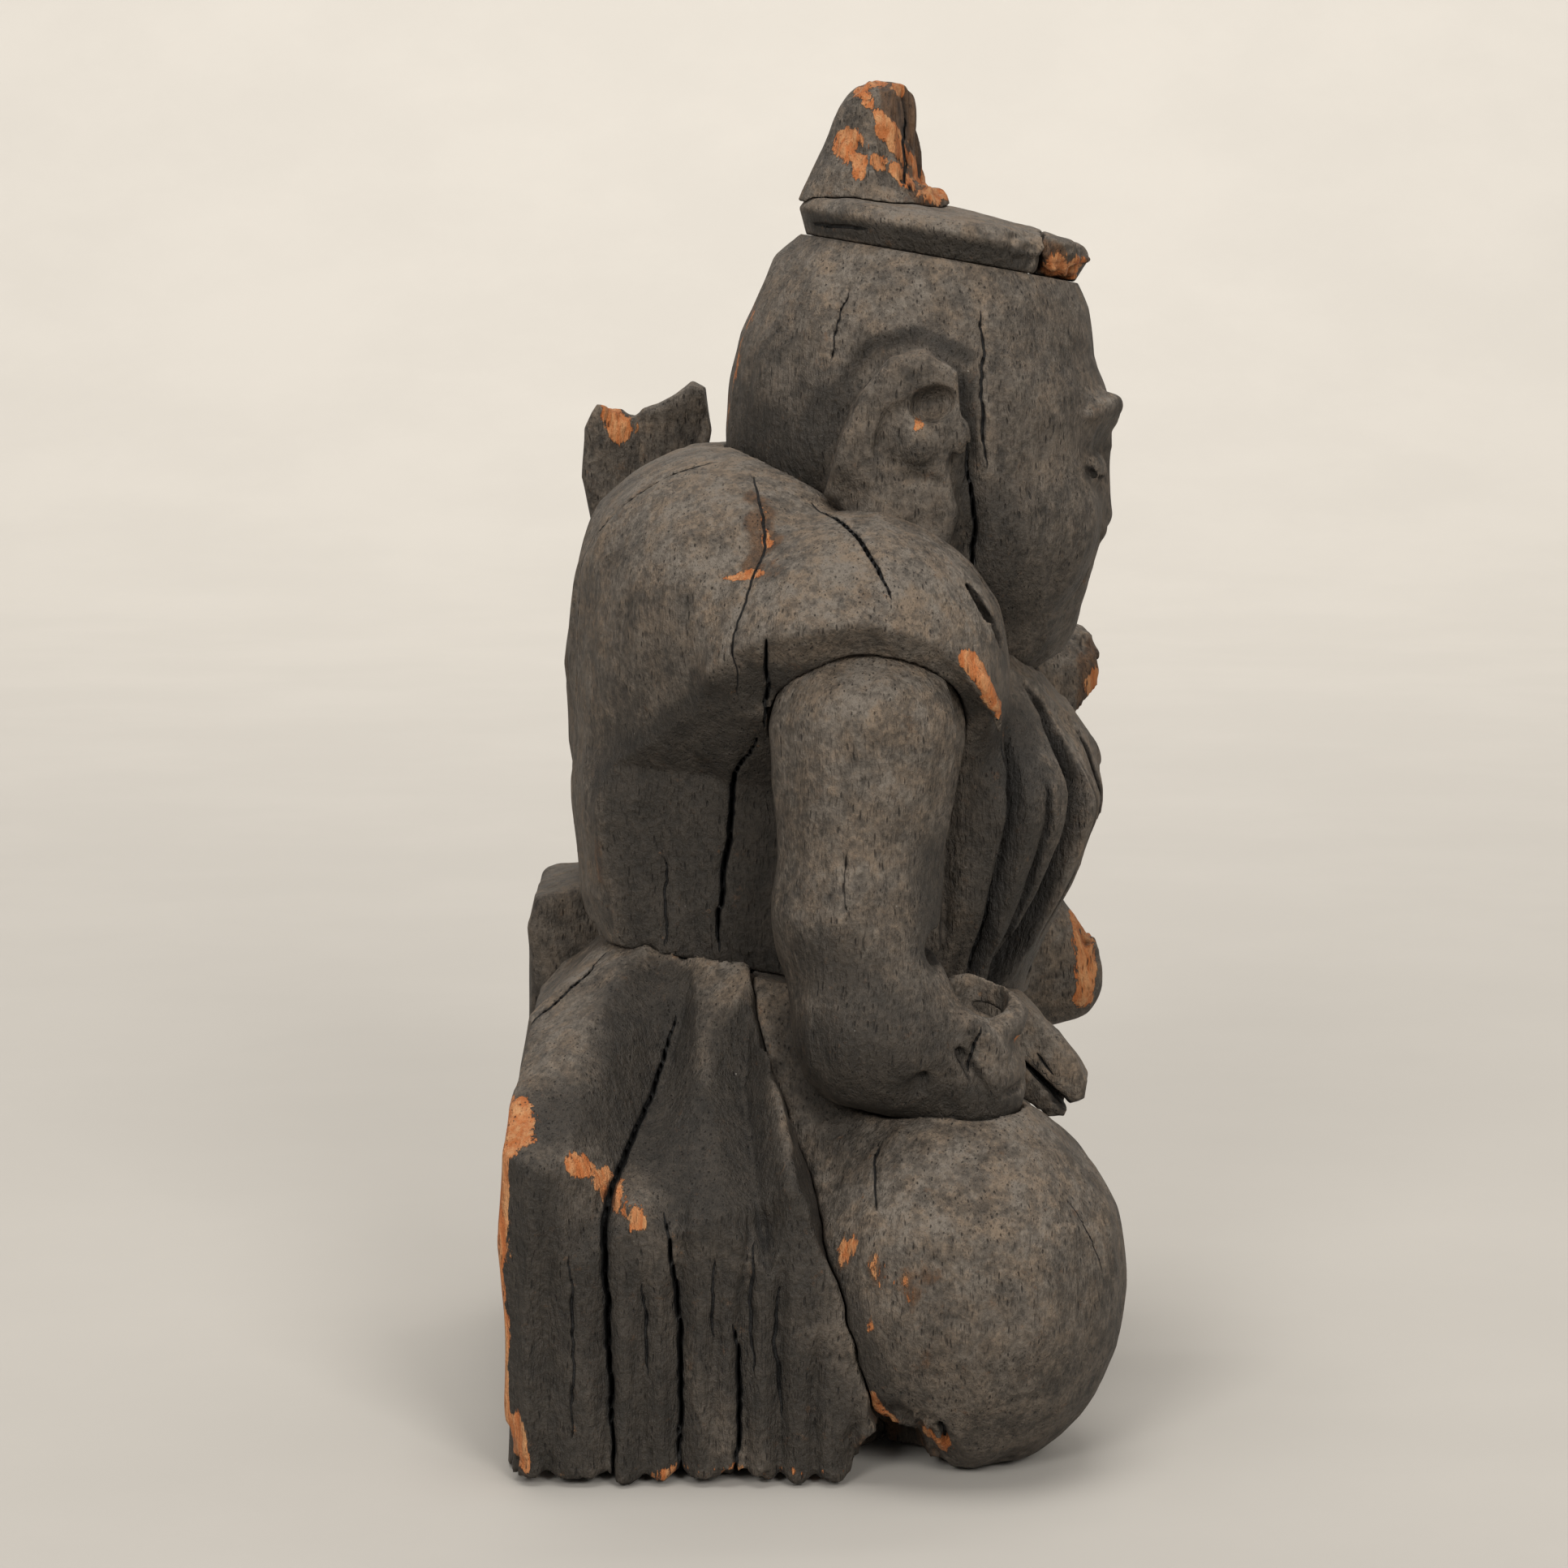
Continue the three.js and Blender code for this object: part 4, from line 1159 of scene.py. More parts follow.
rearLeftSplits = [
    ([(-20, 50, 40), (-20.6, 50, 26), (-20, 50, 8)], 0.7, 7, (0, -1, 0)),
    ([(-10, 50, 34), (-9.4, 50, 18), (-10, 50, 0)], 0.8, 7, (0, -1, 0)),
    ([(-29, 50, 30), (-28.4, 50, 12)], 0.4, 4, (0, -1, 0)),
    ([(-40, 16, 62), (-40, 15, 44), (-40, 16, 22), (-40, 15.4, 0)], 0.9, 8, (1, 0, 0)),
    ([(-40, 29, 40), (-40, 30, 22), (-40, 29.4, 4)], 0.5, 6, (1, 0, 0)),
    ([(-40, 42, 50), (-40, 42.6, 36), (-40, 42, 24)], 0.4, 5, (1, 0, 0)),
]

# where the soot has gone and the wood shows; soot marks also paint shade in creases, recesses and undersides,
# and dust marks also paint light on lit faces

wear = {  # path, radius and strength of each mark
    "head": {
        "bare": [
            ([(-9.6, -5, 149.5), (-12.4, -6, 140), (-13.2, -7, 129)], 1.7, 0.62),
            ([(12, -27.6, 130.6)], 1, 0.9),
        ],
        # dust, with painted light on the top of the head and the ear
        "dust": [([(2, -14, 148), (16, -16, 150)], 6, 0.7), ([(4, -27, 122), (12, -27, 117)], 7, 0.15)],
        # soot, with painted shade in the ear recess and under the jaw
        "soot": [
            ([(-3.4, -21, 119), (-2.4, -22, 126), (0.6, -24, 133)], 3.6, 1),
            ([(-9, -15, 122), (-7, -18, 128)], 7, 0.8),
            ([(0.6, -24, 133), (6, -24, 140.4), (13, -24, 142.2), (18.6, -24, 139.4)], 1.7, 0.9),
            ([(18.8, -23, 136), (18.6, -23, 127), (19.2, -22, 118)], 1.7, 0.7),
            ([(13.8, -28, 133.4)], 2.2, 0.6), ([(22, -21, 118), (22, -17, 108)], 8, 0.6),
            ([(30, -16, 112)], 8, 0.4), ([(-6, -20, 128)], 8, 0.5),
        ],
    },
    "cap_brim": {
        "bare": [([(-2, -8, 157.5), (-3.2, 0, 157.8)], 0.8, 0.4)],
        # dust, with painted light on the brim's top
        "dust": [([(0, -12, 158), (20, -14, 157)], 5, 0.8)],
        # soot, with painted shade along the brim's split and lower edge
        "soot": [([(-2.6, -6, 156.4), (4, -15, 155.1), (14, -18, 153.4), (26, -15, 151.2)], 1.7, 1)],
    },
    "cap_brim_chip": {
        "bare": [([(31.2, -12, 150), (33.6, -7, 149.2)], 2.4, 0.75)],
        "rot": [([(29, -14, 151.4), (33, -11, 148.8), (35.4, -4, 148.4)], 3.4, 1)],
    },
    "cap_crown": {
        "bare": [
            ([(8, -3, 175.4), (6, -4, 173.6), (6.6, -4, 171.4)], 1.2, 1),
            ([(7.4, -4, 170.6), (8.6, -5, 168.2)], 0.8, 1),
            ([(8.6, -5, 168.6), (11, -6, 165.2), (14, -6, 162.2), (16.6, -5, 160.6)], 1.3, 1),
            ([(3.5, -6, 166.8)], 2.1, 0.95), ([(5.2, -7, 164.4), (5.6, -7, 162.4)], 0.9, 0.8),
            ([(8, -7, 164), (10.6, -7, 162.4), (13.4, -6, 161.2)], 1.3, 0.95),
            ([(10.4, -4, 173.6)], 1, 0.8), ([(14.8, 4.4, 160.2), (12, 6.6, 163)], 1.8, 0.9),
        ],
        "rot": [([(11.4, -3, 175), (11.6, -3, 171), (12.4, -2, 166), (14, 0, 162)], 4.6, 1)],
    },
    "trunk": {
        "bare": [
            ([(18.2, -41, 102.2), (20.6, -40, 99), (22.4, -38, 94.6)], 1, 1),
            ([(-12.4, -36, 111.6), (-7.4, -36, 112.6)], 0.5, 0.8),
            ([(-7.6, -33, 120), (-6.8, -34, 116)], 0.7, 0.6),
        ],
        # dust, with painted light on the shoulder, chest ridges and back edge
        "dust": [
            ([(-16, -26, 120), (-4, -34, 114), (8, -40, 108)], 13, 0.7),
            ([(30, -12, 94), (35, -4, 90)], 6, 0.8), ([(34, -14, 88), (34, -13, 74)], 2.6, 0.9),
            ([(28.6, -21, 90), (27.6, -21, 68)], 2, 0.8),
            ([(-31, -14, 110), (-33.4, -13, 92), (-32, -13, 68)], 7, 1),
        ],
        "rot": [
            ([(-8.6, -33, 121), (-7.2, -35, 114.5)], 3.6, 0.72),
            ([(-29, -18, 75), (-27, -19, 71)], 2.4, 0.5),
        ],
        # soot, with painted shade on the side panels, under the sleeve hem and in the chest folds
        "soot": [
            ([(-22, -26, 84), (-20, -26, 74), (-18, -26, 62)], 9.5, 1),
            ([(-10, -28, 88), (-10, -28, 62)], 9, 1),
            ([(-24, -27, 88), (-14, -34, 96), (-7, -40, 99)], 3.6, 0.9),
            ([(-6, -38, 99.4), (4.8, -38, 101.4), (12, -38, 100), (18, -36, 95.6)], 2.8, 0.9),
            ([(24, -24, 90), (24, -22, 62)], 8, 0.8), ([(30, -16, 88), (27, -17, 64)], 3, 0.9),
            ([(-22, 30, 86), (-18, 29, 62)], 12, 0.9),
        ],
    },
    "right_arm": {
        "bare": [([(2, -46.5, 62.2)], 0.7, 0.6), ([(24.6, -43, 54.6)], 0.8, 0.5)],
        # dust, with painted light on the upper arm
        "dust": [([(4, -46, 93), (10, -47, 90)], 9, 0.9), ([(3, -48, 84), (2, -49, 70)], 8, 0.5)],
        # soot, with painted shade under the forearm, elbow and fist
        "soot": [
            ([(2, -50, 54), (12, -48, 46), (20, -46, 44)], 7, 1),
            ([(0, -50, 66), (9, -51, 58), (15, -48, 54)], 7, 0.6),
            ([(14, -44, 78), (13, -44, 66)], 4, 0.6),
        ],
    },
    "left_arm": {
        "bare": [([(39.4, 34, 92)], 2.2, 0.6)],
        "rot": [([(38.6, 34, 96), (38.6, 32, 87)], 3, 0.8)],
    },
    "fish": {
        "bare": [
            ([(-28.8, 35, 130.2), (-27.2, 35, 127.6)], 1.9, 1),
            ([(37.6, 36, 57.5), (38.8, 36.6, 52), (38.2, 37, 46)], 1.7, 0.9),
            ([(34, 34.6, 41), (31, 34.6, 40)], 1.8, 0.8),
        ],
        # dust, with painted light on the fish's head
        "dust": [([(28, 32, 56), (36, 33, 50)], 9, 0.8)],
    },
    "sash_end": {
        "bare": [([(33.4, -27.6, 41.2)], 0.9, 0.5)],
        # dust, with painted light on the sash end
        "dust": [([(26, -27, 54), (33, -27, 47)], 6, 0.9)],
    },
    "knee_block": {
        "bare": [
            ([(3.4, -57, 30.4), (9.4, -59, 27.8)], 2.4, 0.5), ([(5.6, -57.6, 21)], 1.4, 0.5),
            ([(8.2, -56, 7.6), (5.8, -54, 10.5)], 2.2, 0.75),
            ([(10.8, -56, 5.8), (15, -57, 4.4)], 1.8, 0.62),
        ],
        "rot": [
            ([(9.2, -50, 4)], 6, 1), ([(1.6, -57, 30), (8, -59, 28), (14, -60, 27)], 3.2, 0.56),
            ([(12, -60, 17)], 3.4, 0.5),
        ],
        # dust, with painted light on the knee tops
        "dust": [
            ([(14, -46, 42), (22, -44, 40)], 10, 0.3), ([(12, -54, 34), (22, -54, 30)], 9, 0.8),
            ([(20, -58, 22), (26, -57, 24)], 10, 0.5),
        ],
        # soot, with painted shade in the creases under the arm and lap and in the rotted hole at the base
        "soot": [
            ([(2, -46, 44), (-2, -40, 54)], 6, 0.7), ([(0, -52, 26), (8, -56, 8)], 5, 0.7),
            ([(9.4, -50, 2)], 5, 1), ([(4, -50, 40), (10, -50, 44)], 6, 0.45),
        ],
    },
    "rear_block_right": {
        "bare": [
            ([(-37.6, -51, 46), (-38.4, -51, 42.6)], 2.2, 1),
            ([(-39.4, -51, 42), (-39.8, -51, 30), (-39.8, -51, 16), (-39.2, -51, 5)], 1.1, 1),
            ([(-38.6, -51, 8), (-36.6, -53, 2.6)], 1.9, 0.9),
            ([(-27.2, -51.4, 38.2), (-24.4, -52.2, 35.6), (-22.8, -52.6, 33.6)], 1.5, 0.9),
            ([(-30.8, -50.6, 41), (-28.6, -51, 39.4)], 1.1, 0.62),
            ([(-20, -54, 1.6), (-12, -54, 2), (-2, -54, 1.6), (6, -54, 2.2)], 1.6, 0.6),
        ],
        "rot": [([(8.6, -54, 4)], 5, 0.9)],
        # dust, with painted light on the block's top
        "dust": [
            ([(-4, -30, 60), (-14, -30, 61), (-27, -28, 61.5)], 3.6, 1),
            ([(-30, -38, 54), (-36, -38, 50)], 4, 0.1),
        ],
        # soot, with painted shade on the dark facets and the low outside face
        "soot": [
            ([(-21.4, -31, 56), (-22.4, -34, 50), (-22, -38, 44)], 8.5, 1),
            ([(-18, -40, 44), (-15, -45, 39)], 8, 1),
            ([(-9.4, -30, 52), (-9.6, -32, 46), (-8.6, -38, 40)], 7, 1),
            ([(-26, -40, 46), (-34, -46, 45)], 6, 0.7),
            ([(-14, -50, 36), (-4, -48, 36), (-4, -50, 26)], 7, 0.9),
            ([(-38, -52, 36), (-37, -52, 30), (-34, -53, 4)], 8, 1),
            ([(-28, -53, 28), (-20, -54, 4)], 8, 1), ([(-14, -54, 24), (0, -54, 6)], 9, 0.85),
            ([(-18, -53, 34), (-8, -53, 32)], 5, 0.7),
        ],
    },
    "rear_block_left": {
        "bare": [
            ([(-39.6, 26, 53.5), (-39.8, 25, 50.6)], 1.4, 0.9),
            ([(-38.6, 46, 40), (-38.8, 46.6, 14)], 1.3, 0.8),
        ],
        "rot": [([(-38, 46, 2)], 5, 0.9)],
    },
}

# wood finish

woodLook = {
    "dark": (0.0140, 0.0116, 0.0086),
    "mid": (0.078, 0.062, 0.047),
    "dusty": (0.146, 0.124, 0.101),
    "tan": (0.158, 0.118, 0.083),
    "brown": (0.118, 0.062, 0.030),
    "orange": (0.40, 0.122, 0.031),
    "pale": (0.49, 0.25, 0.108),
    "rotten": (0.034, 0.020, 0.012),
    "pore": (0.008, 0.0065, 0.005),
    # painted shade for the hollows
    "hollow": (0.007, 0.006, 0.005),
    "line": (0.004, 0.0035, 0.003),
    "speck": (0.26, 0.24, 0.21),
}
pegLook = {"dark": (0.20, 0.10, 0.045), "light": (0.42, 0.25, 0.12), "pore": (0.07, 0.035, 0.02)}
dusting = {
    "onTopDustAndLight": 0.62,  # dust and a painted top light on what faces up
    "film": 0.6,  # dust on everything, times the film of each finish
    # dust marks, which also paint light on lit faces
    "dustAndLightHeaps": 0.34,
    "edges": 0.3,
    # soot marks, which also paint shade, hide the dust
    "sootHides": 0.97,
    "flakes": (0.8, 1.9),  # two sizes of flake, in cells for each millimetre
    "cover": 0.92,
}


def rgba(colour):
    return (*colour, 1.0)


class Signal:
    # a shader value that adds and multiplies like a number
    def __init__(self, wire, socket):
        self.wire = wire
        self.socket = socket

    def __add__(self, other):
        return self.wire.math("ADD", self, other)

    def __sub__(self, other):
        return self.wire.math("SUBTRACT", self, other)

    def __mul__(self, other):
        return self.wire.math("MULTIPLY", self, other)

    def clamped(self):
        self.socket.node.use_clamp = True
        return self


class Wiring:
    # shorthands for placing and joining shader nodes
    def __init__(self, tree):
        self.tree = tree

    def node(self, kind, **values):
        made = self.tree.nodes.new(kind)
        for key, value in values.items():
            setattr(made, key, value)
        return made

    def feed(self, socket, value):
        if isinstance(value, Signal):
            self.tree.links.new(value.socket, socket)
        elif isinstance(value, bpy.types.NodeSocket):
            self.tree.links.new(value, socket)
        else:
            socket.default_value = value

    def math(self, operation, a, b=0.0):
        made = self.node("ShaderNodeMath", operation=operation)
        self.feed(made.inputs[0], a)
        self.feed(made.inputs[1], b)
        return Signal(self, made.outputs[0])

    def band(self, value, low, high, outLow=0.0, outHigh=1.0):
        made = self.node("ShaderNodeMapRange", interpolation_type="SMOOTHSTEP")
        self.feed(made.inputs["Value"], value)
        for name, number in (("From Min", low), ("From Max", high), ("To Min", outLow),
                             ("To Max", outHigh)):
            made.inputs[name].default_value = number
        return Signal(self, made.outputs["Result"])

    def mix(self, amount, a, b):
        made = self.node("ShaderNodeMix", data_type="RGBA", blend_type="MIX")
        self.feed(made.inputs["Factor"], amount)
        self.feed(made.inputs["A"], a)
        self.feed(made.inputs["B"], b)
        return made.outputs["Result"]

    def stretch(self, vector, amounts):
        made = self.node("ShaderNodeVectorMath", operation="MULTIPLY")
        self.feed(made.inputs[0], vector)
        made.inputs[1].default_value = amounts
        return made.outputs[0]

    def place(self, scale):
        return self.stretch(self.node("ShaderNodeTexCoord").outputs["Object"], (scale,) * 3)

    def cloud(self, vector, scale, detail=4.0, rough=0.6):
        made = self.node("ShaderNodeTexNoise")
        self.feed(made.inputs["Vector"], vector)
        for name, number in (("Scale", scale), ("Detail", detail), ("Roughness", rough)):
            made.inputs[name].default_value = number
        return Signal(self, made.outputs["Fac"])

    def cells(self, vector, scale):
        # the distance to the nearest cell's middle, and a random number for each cell
        made = self.node("ShaderNodeTexVoronoi")
        self.feed(made.inputs["Vector"], vector)
        made.inputs["Scale"].default_value = scale
        parts = self.node("ShaderNodeSeparateColor")
        self.feed(parts.inputs[0], made.outputs["Color"])
        return Signal(self, made.outputs["Distance"]), parts.outputs[0]


millimetre = 1000  # object coordinates are metres


def newGroup(name, inputs, outputs):
    group = bpy.data.node_groups.new(name, "ShaderNodeTree")
    for label, value in inputs.items():
        socket = group.interface.new_socket(label, in_out="INPUT", socket_type="NodeSocketFloat")
        socket.default_value = value
    for label, kind in outputs.items():
        group.interface.new_socket(label, in_out="OUTPUT", socket_type=kind)
    wire = Wiring(group)
    source = wire.node("NodeGroupInput")
    given = {label: Signal(wire, source.outputs[label]) for label in inputs}
    return group, wire, given, wire.node("NodeGroupOutput").inputs


def makeGrainGroup():
    # open pores and washed-out grain that run up the block
    outputs = dict.fromkeys(("Pores", "Streaks", "Mottle"), "NodeSocketFloat")
    group, wire, _, out = newGroup("openGrain", {}, outputs)
    place = wire.place(millimetre)
    drift = wire.node("ShaderNodeTexNoise")
    wire.feed(drift.inputs["Vector"], place)
    drift.inputs["Scale"].default_value = 0.12
    warp = wire.node("ShaderNodeVectorMath", operation="MULTIPLY_ADD")
    wire.feed(warp.inputs[0], drift.outputs["Color"])
    warp.inputs[1].default_value = (2.4, 2.4, 2.4)
    wire.feed(warp.inputs[2], place)
    bent = warp.outputs[0]
    gap, tint = wire.cells(wire.stretch(bent, (1, 1, 0.2)), 1.9)
    large = wire.band(gap, 0.27, 0.10) * wire.band(tint, 0.55, 0.7)
    gap, _ = wire.cells(wire.stretch(bent, (1, 1, 0.1)), 3.6)
    small = wire.band(gap, 0.30, 0.08) * 0.42
    wire.feed(out["Pores"], wire.math("MAXIMUM", large, small))
    wire.feed(out["Streaks"], wire.cloud(wire.stretch(bent, (1, 1, 0.09)), 1.0, 6.0, 0.68))
    wire.feed(out["Mottle"], wire.cloud(place, 0.17, 7.0, 0.66))
    return group


grainGroup = makeGrainGroup()


def readGrain(wire):
    grain = wire.node("ShaderNodeGroup", node_tree=grainGroup)
    return (Signal(wire, grain.outputs[name]) for name in ("Pores", "Streaks", "Mottle"))


def makeSootGroup():
    # soot, dust and worn places over the grain, with painted shade in hollows and creases and painted light
    # on what faces up
    group, wire, given, out = newGroup(
        "sootedWood",
        {"Bare": 0, "Rot": 0, "Dust": 0, "Soot": 0, "Hollow": 0, "Edge": 0, "Film": 0.5, "Rubbed": 0.5,
         "LineSide": 2, "LineHalf": 0},
        {"Color": "NodeSocketColor", "Roughness": "NodeSocketFloat", "Height": "NodeSocketFloat"})
    look = {name: rgba(colour) for name, colour in woodLook.items()}
    pores, streaks, mottle = readGrain(wire)
    place = wire.place(millimetre)
    facing = wire.node("ShaderNodeSeparateXYZ")
    wire.feed(facing.inputs[0], wire.node("ShaderNodeNewGeometry").outputs["Normal"])
    up = wire.band(facing.outputs["Z"], -0.35, 0.95)
    grit = wire.cloud(wire.stretch(place, (1, 1, 0.7)), 1.5, 3.0, 0.65)
    blotch = wire.cloud(place, 0.55, 6.0, 0.7)
    # soot: dark and mid tones by patch and by streak
    tone = wire.band(mottle, 0.36, 0.64) * 0.5 + wire.band(streaks, 0.32, 0.68) * 0.35
    tone = (tone + wire.band(blotch, 0.38, 0.62) * 0.45) * wire.band(grit, 0.34, 0.66, 0.6, 1.3)
    colour = wire.mix(tone, look["dark"], look["mid"])
    # dust lies on what faces up, and as a thin film elsewhere; the lighter tops are partly a painted top
    # light
    film = up * dusting["onTopDustAndLight"] + given["Film"] * dusting["film"]
    film = film * wire.band(mottle, 0.36, 0.64, 0.32, 1.15)
    # dust marks add dust and painted light on lit faces
    film = film + given["Dust"] * dusting["dustAndLightHeaps"]
    film = film + wire.band(given["Edge"], 0.2, 0.55, 0.0, dusting["edges"])
    # soot marks darken the colour with soot and with painted shade in creases, recesses and undersides, and
    # hide the dust
    ashAndShade = wire.band(given["Soot"] + (mottle - 0.5) * 0.9, 0.15, 0.75) * wire.band(given["Soot"], 0.0, 0.25)
    film = film * wire.math("SUBTRACT", 1.0, ashAndShade * dusting["sootHides"])
    colour = wire.mix(ashAndShade * 0.7, colour, look["dark"])
    film = film * wire.band(grit, 0.32, 0.68, 0.6, 1.4) * wire.band(blotch, 0.34, 0.66, 0.65, 1.3)
    # less dust in hollows, a painted shade there
    film = film * wire.band(given["Hollow"], 0.12, 0.6, 1.0, 0.25)
    # flakes of crust, each a little lighter or darker than the next
    for size in dusting["flakes"]:
        film = film * wire.band(wire.cells(place, size)[1], 0.0, 1.0, 0.72, 1.28)
    powder = wire.mix(wire.band(wire.cloud(place, 0.26, 5.0, 0.7), 0.40, 0.62), look["dusty"], look["tan"])
    colour = wire.mix((film * dusting["cover"]).clamped(), colour, powder)
    # brown rubbed ridges and small flecks of orange
    fleck = wire.band(wire.cloud(place, 0.42, 8.0, 0.78), 0.585, 0.68)
    rub = (((wire.band(given["Edge"], 0.22, 0.55) + 0.45) * fleck) * given["Rubbed"]).clamped()
    colour = wire.mix(rub, colour, look["brown"])
    pinch = wire.band(wire.cloud(place, 0.9, 8.0, 0.8), 0.655, 0.72)
    colour = wire.mix((pinch * rub * 0.9).clamped(), colour, look["orange"])
    # rotten, then bare wood
    rotten = wire.mix(wire.band(streaks, 0.35, 0.65), look["rotten"], look["brown"])
    stain = wire.band(given["Rot"] + (blotch - 0.5) * 1.6, 0.2, 0.7) * wire.band(given["Rot"], 0.02, 0.2)
    colour = wire.mix(stain * 0.85, colour, rotten)
    fresh = wire.mix(wire.band(streaks, 0.38, 0.7), look["orange"], look["pale"])
    ragged = given["Bare"] + (wire.cloud(wire.stretch(place, (1, 1, 0.3)), 1.3, 6.0, 0.7) - 0.5) * 2.4
    bare = wire.band(ragged, 0.42, 0.54) * wire.band(given["Bare"], 0.02, 0.2)
    colour = wire.mix(bare, colour, fresh)
    # pores and fine splits stay dark, and hollows get a painted shade
    colour = wire.mix(pores * 0.7, colour, look["pore"])
    colour = wire.mix(wire.band(given["Hollow"], 0.22, 0.85, 0.0, 0.72), colour, look["hollow"])
    line = wire.band(wire.math("ABSOLUTE", given["LineSide"]) - given["LineHalf"], 0.07, -0.05)
    line = line * wire.band(given["LineHalf"], 0.02, 0.07)
    colour = wire.mix(line, colour, look["line"])
    # stray specks of white dust
    speckle = wire.band(wire.cells(place, 0.3)[0], 0.04, 0.02) * wire.band(blotch, 0.45, 0.6)
    colour = wire.mix(speckle * 0.6, colour, look["speck"])
    wire.feed(out["Color"], colour)
    wire.feed(out["Roughness"], wire.band(film, 0.0, 0.9, 0.62, 0.88))
    height = streaks * 0.6 - pores * 0.4 + grit * 0.5 + blotch * 0.5
    height = height + (given["Rot"] + bare) * streaks * 0.7 - line * 0.5
    wire.feed(out["Height"], height)
    return group


sootGroup = makeSootGroup()


def newMaterial(name):
    material = bpy.data.materials.new(name)
    material.use_nodes = True
    return material, Wiring(material.node_tree), material.node_tree.nodes["Principled BSDF"].inputs


def makeWood(name, film, rubbed):
    material, wire, shader = newMaterial(name)
    soot = wire.node("ShaderNodeGroup", node_tree=sootGroup)
    for mask in ("bare", "rot", "dust", "soot", "hollow", "edge", "lineSide", "lineHalf"):
        reader = wire.node("ShaderNodeAttribute", attribute_name=mask)
        wire.feed(soot.inputs[mask[0].upper() + mask[1:]], reader.outputs["Fac"])
    soot.inputs["Film"].default_value = film
    soot.inputs["Rubbed"].default_value = rubbed
    bump = wire.node("ShaderNodeBump")
    bump.inputs["Distance"].default_value = 0.001
    bump.inputs["Strength"].default_value = 0.9
    wire.feed(bump.inputs["Height"], soot.outputs["Height"])
    wire.feed(shader["Base Color"], soot.outputs["Color"])
    wire.feed(shader["Roughness"], soot.outputs["Roughness"])
    wire.feed(shader["Normal"], bump.outputs["Normal"])
    shader["Specular IOR Level"].default_value = 0.32
    return material


def makePegWood():
    material, wire, shader = newMaterial("pegWood")
    pores, streaks, _ = readGrain(wire)
    colour = wire.mix(wire.band(streaks, 0.3, 0.7), rgba(pegLook["dark"]), rgba(pegLook["light"]))
    wire.feed(shader["Base Color"], wire.mix(pores * 0.5, colour, rgba(pegLook["pore"])))
    wire.feed(shader["Roughness"], wire.band(streaks, 0.2, 0.8, 0.6, 0.8))
    return material


darkWood = makeWood("sootDarkWood", 0.34, 0.6)
headWood = makeWood("smokedHeadWood", 0.12, 0.6)
kneeWood = makeWood("dustyKneeWood", 0.27, 0.9)
sideWood = makeWood("shadedWood", 0.12, 0.6)
capWood = makeWood("capWood", 0.3, 0.75)
rottenWood = makeWood("crumblingWood", 0.25, 1.0)
fishWood = makeWood("fishWood", 0.25, 0.65)
pegWood = makePegWood()
print("finishes ready")

# blocks

blocks = [  # name, field, finish, slot, splits, carving step as a share of the usual one
    ("trunk", trunkField, darkWood, "dark_wood", trunkSplits, 1.0),
    ("head", headField, headWood, "dark_wood", headSplits, 0.86),
    ("cap_brim", brimField, capWood, "cap_wood", brimSplits, 0.7),
    ("cap_brim_chip", chipField, rottenWood, "rotten_wood", [], 0.6),
    ("cap_crown", crownField, capWood, "cap_wood", crownSplits, 0.6),
    ("right_arm", rightArmField, darkWood, "dark_wood", rightArmSplits, 0.86),
    ("left_arm", leftArmField, darkWood, "dark_wood", [], 1.1),
    ("fish", fishField, fishWood, "fish_wood", fishSplits, 0.9),
    ("sash_end", sashField, darkWood, "dark_wood", sashSplits, 0.7),
    ("knee_block", kneeField, kneeWood, "dark_wood", kneeSplits, 1.0),
    ("rear_block_right", rearRightField, sideWood, "dark_wood", rearRightSplits, 1.0),
    ("rear_block_left", rearLeftField, sideWood, "dark_wood", rearLeftSplits, 1.3),
]

for node, field, finish, slot, splits, share in blocks:
    low, high = boxOf(node)
    piece = carve(f"carved_{node}", field, low, high, carving["voxel"] * share, wear.get(node, {}), splits)
    piece.data.materials.append(finish)
    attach(piece, "root")
    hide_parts(node)

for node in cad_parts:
    if node.endswith("_peg"):
        peg = bpy.data.objects[node]
        for holder in peg.material_slots:
            holder.material = pegWood
print("blocks carved")

# floor, light and camera

studio = {
    "floorTone": (0.385, 0.362, 0.328),
    "sweepStart": 1.15,  # where the floor begins to curve up, behind the figure
    "sweepRadius": 0.9,
    "cameraElevation": 7.0,
    "cameraDistance": 0.567,
    "aimHeight": 0.0815,
    "aimX": -0.0046,
    "lens": 96.9,
}


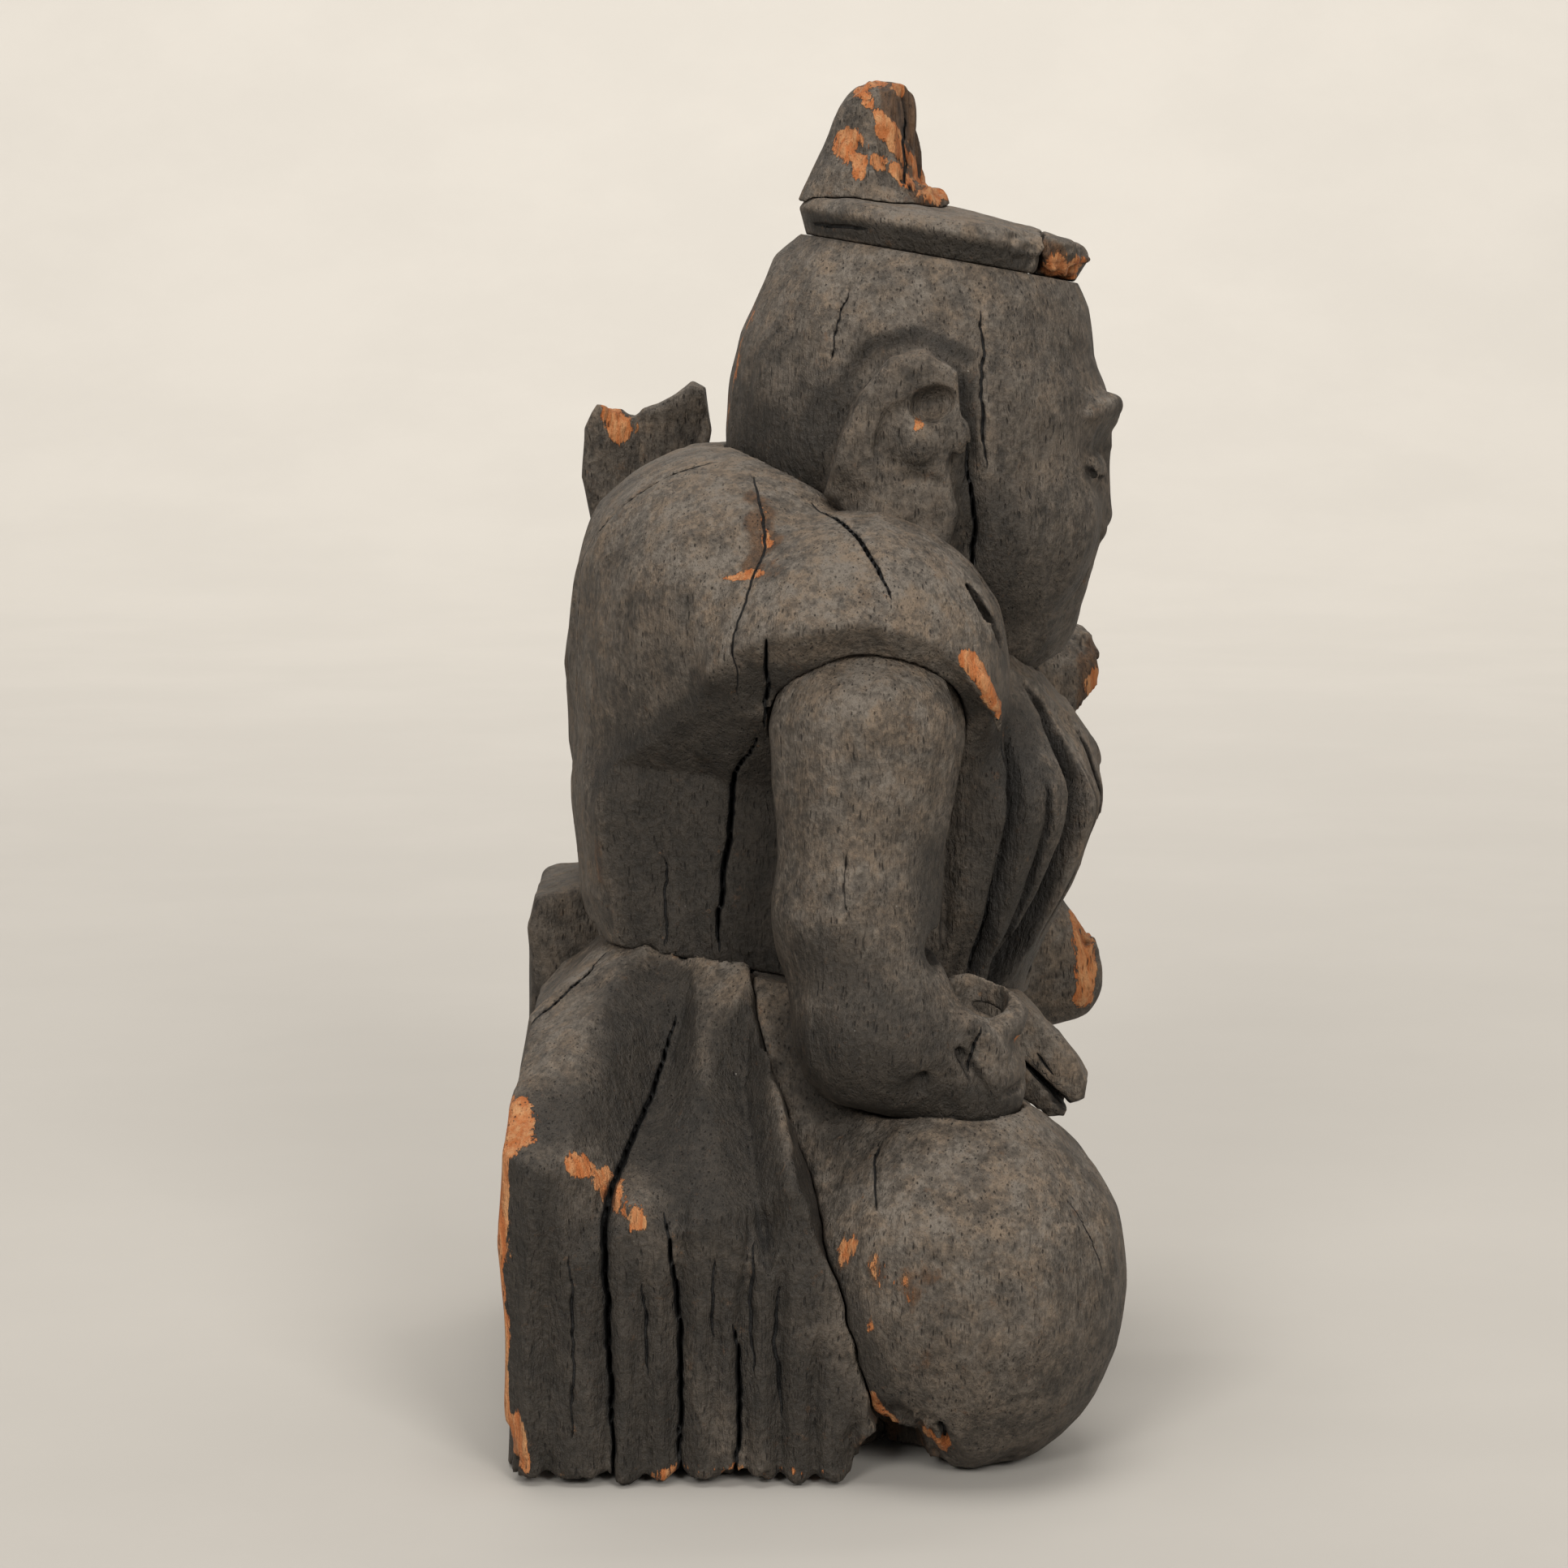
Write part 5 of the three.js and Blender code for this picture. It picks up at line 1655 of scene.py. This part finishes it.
def makeSweep():
    steps = 16
    wide = 3.5
    start, radius, tone = studio["sweepStart"], studio["sweepRadius"], studio["floorTone"]
    rows = [(-2.5, 0.0), (0.0, 0.0), (start, 0.0)]
    for i in range(1, steps + 1):
        angle = math.radians(90 * i / steps)
        rows.append((start + radius * math.sin(angle), radius * (1 - math.cos(angle))))
    rows.append((rows[-1][0], 3.2))
    verts = [(x, y, z) for y, z in rows for x in (-wide, wide)]
    faces = [(2 * i, 2 * i + 1, 2 * i + 3, 2 * i + 2) for i in range(len(rows) - 1)]
    mesh = bpy.data.meshes.new("backdrop")
    mesh.from_pydata(verts, [], faces)
    mesh.polygons.foreach_set("use_smooth", [True] * len(faces))
    sweep = addObject("backdrop", mesh)
    material, wire, shader = newMaterial("backdropPaper")
    patch = wire.band(wire.cloud(wire.place(1), 9.0, 6.0, 0.6), 0.35, 0.7)
    darker, lighter = (rgba(tuple(c * share for c in tone)) for share in (0.98, 1.02))
    wire.feed(shader["Base Color"], wire.mix(patch, darker, lighter))
    shader["Roughness"].default_value = 0.9
    mesh.materials.append(material)
    sweep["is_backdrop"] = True


def addArea(name, place, aim, size, power, colour):
    light = bpy.data.lights.new(name, "AREA")
    light.shape = "RECTANGLE"
    light.size, light.size_y = size
    light.energy = power
    light.color = colour
    lamp = addObject(name, light)
    lamp.location = place
    direction = [a - p for a, p in zip(aim, place)]
    flat = math.hypot(direction[0], direction[1])
    lamp.rotation_euler = (math.atan2(flat, -direction[2]), 0, math.atan2(-direction[0], direction[1]))


makeSweep()
addArea("rightWindow", (0.42, -1.12, 0.62), (0, 0, 0.06), (0.34, 0.34), 9.4, (1.0, 0.98, 0.95))
addArea("leftWindow", (-0.40, -1.16, 0.64), (0, 0, 0.06), (0.34, 0.34), 8.2, (1.0, 0.985, 0.96))
addArea("ceiling", (0.0, -0.1, 1.5), (0, 0.05, 0), (0.9, 0.9), 15.0, (1.0, 0.98, 0.955))
addArea("wallWash", (0, 1.1, 1.6), (0, 2.0, 0.5), (2.4, 0.6), 48, (1.0, 0.98, 0.95))

world = bpy.data.worlds.new("room")
bpy.context.scene.world = world
world.use_nodes = True
roomLight = world.node_tree.nodes["Background"].inputs
roomLight["Color"].default_value = (1.0, 0.98, 0.955, 1)
roomLight["Strength"].default_value = 0.30

bpy.context.scene.view_settings.view_transform = "Standard"

cameraData = bpy.data.cameras.new("camera")
cameraData.lens = studio["lens"]
cameraData.sensor_width = 36
cameraData.clip_end = 20
camera = addObject("camera", cameraData)
elevation = math.radians(studio["cameraElevation"])
camera.location = (
    studio["aimX"],
    -studio["cameraDistance"] * math.cos(elevation),
    studio["aimHeight"] + studio["cameraDistance"] * math.sin(elevation),
)
camera.rotation_euler = (math.pi / 2 - elevation, 0, 0)
bpy.context.scene.camera = camera
print("stage set")

low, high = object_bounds()
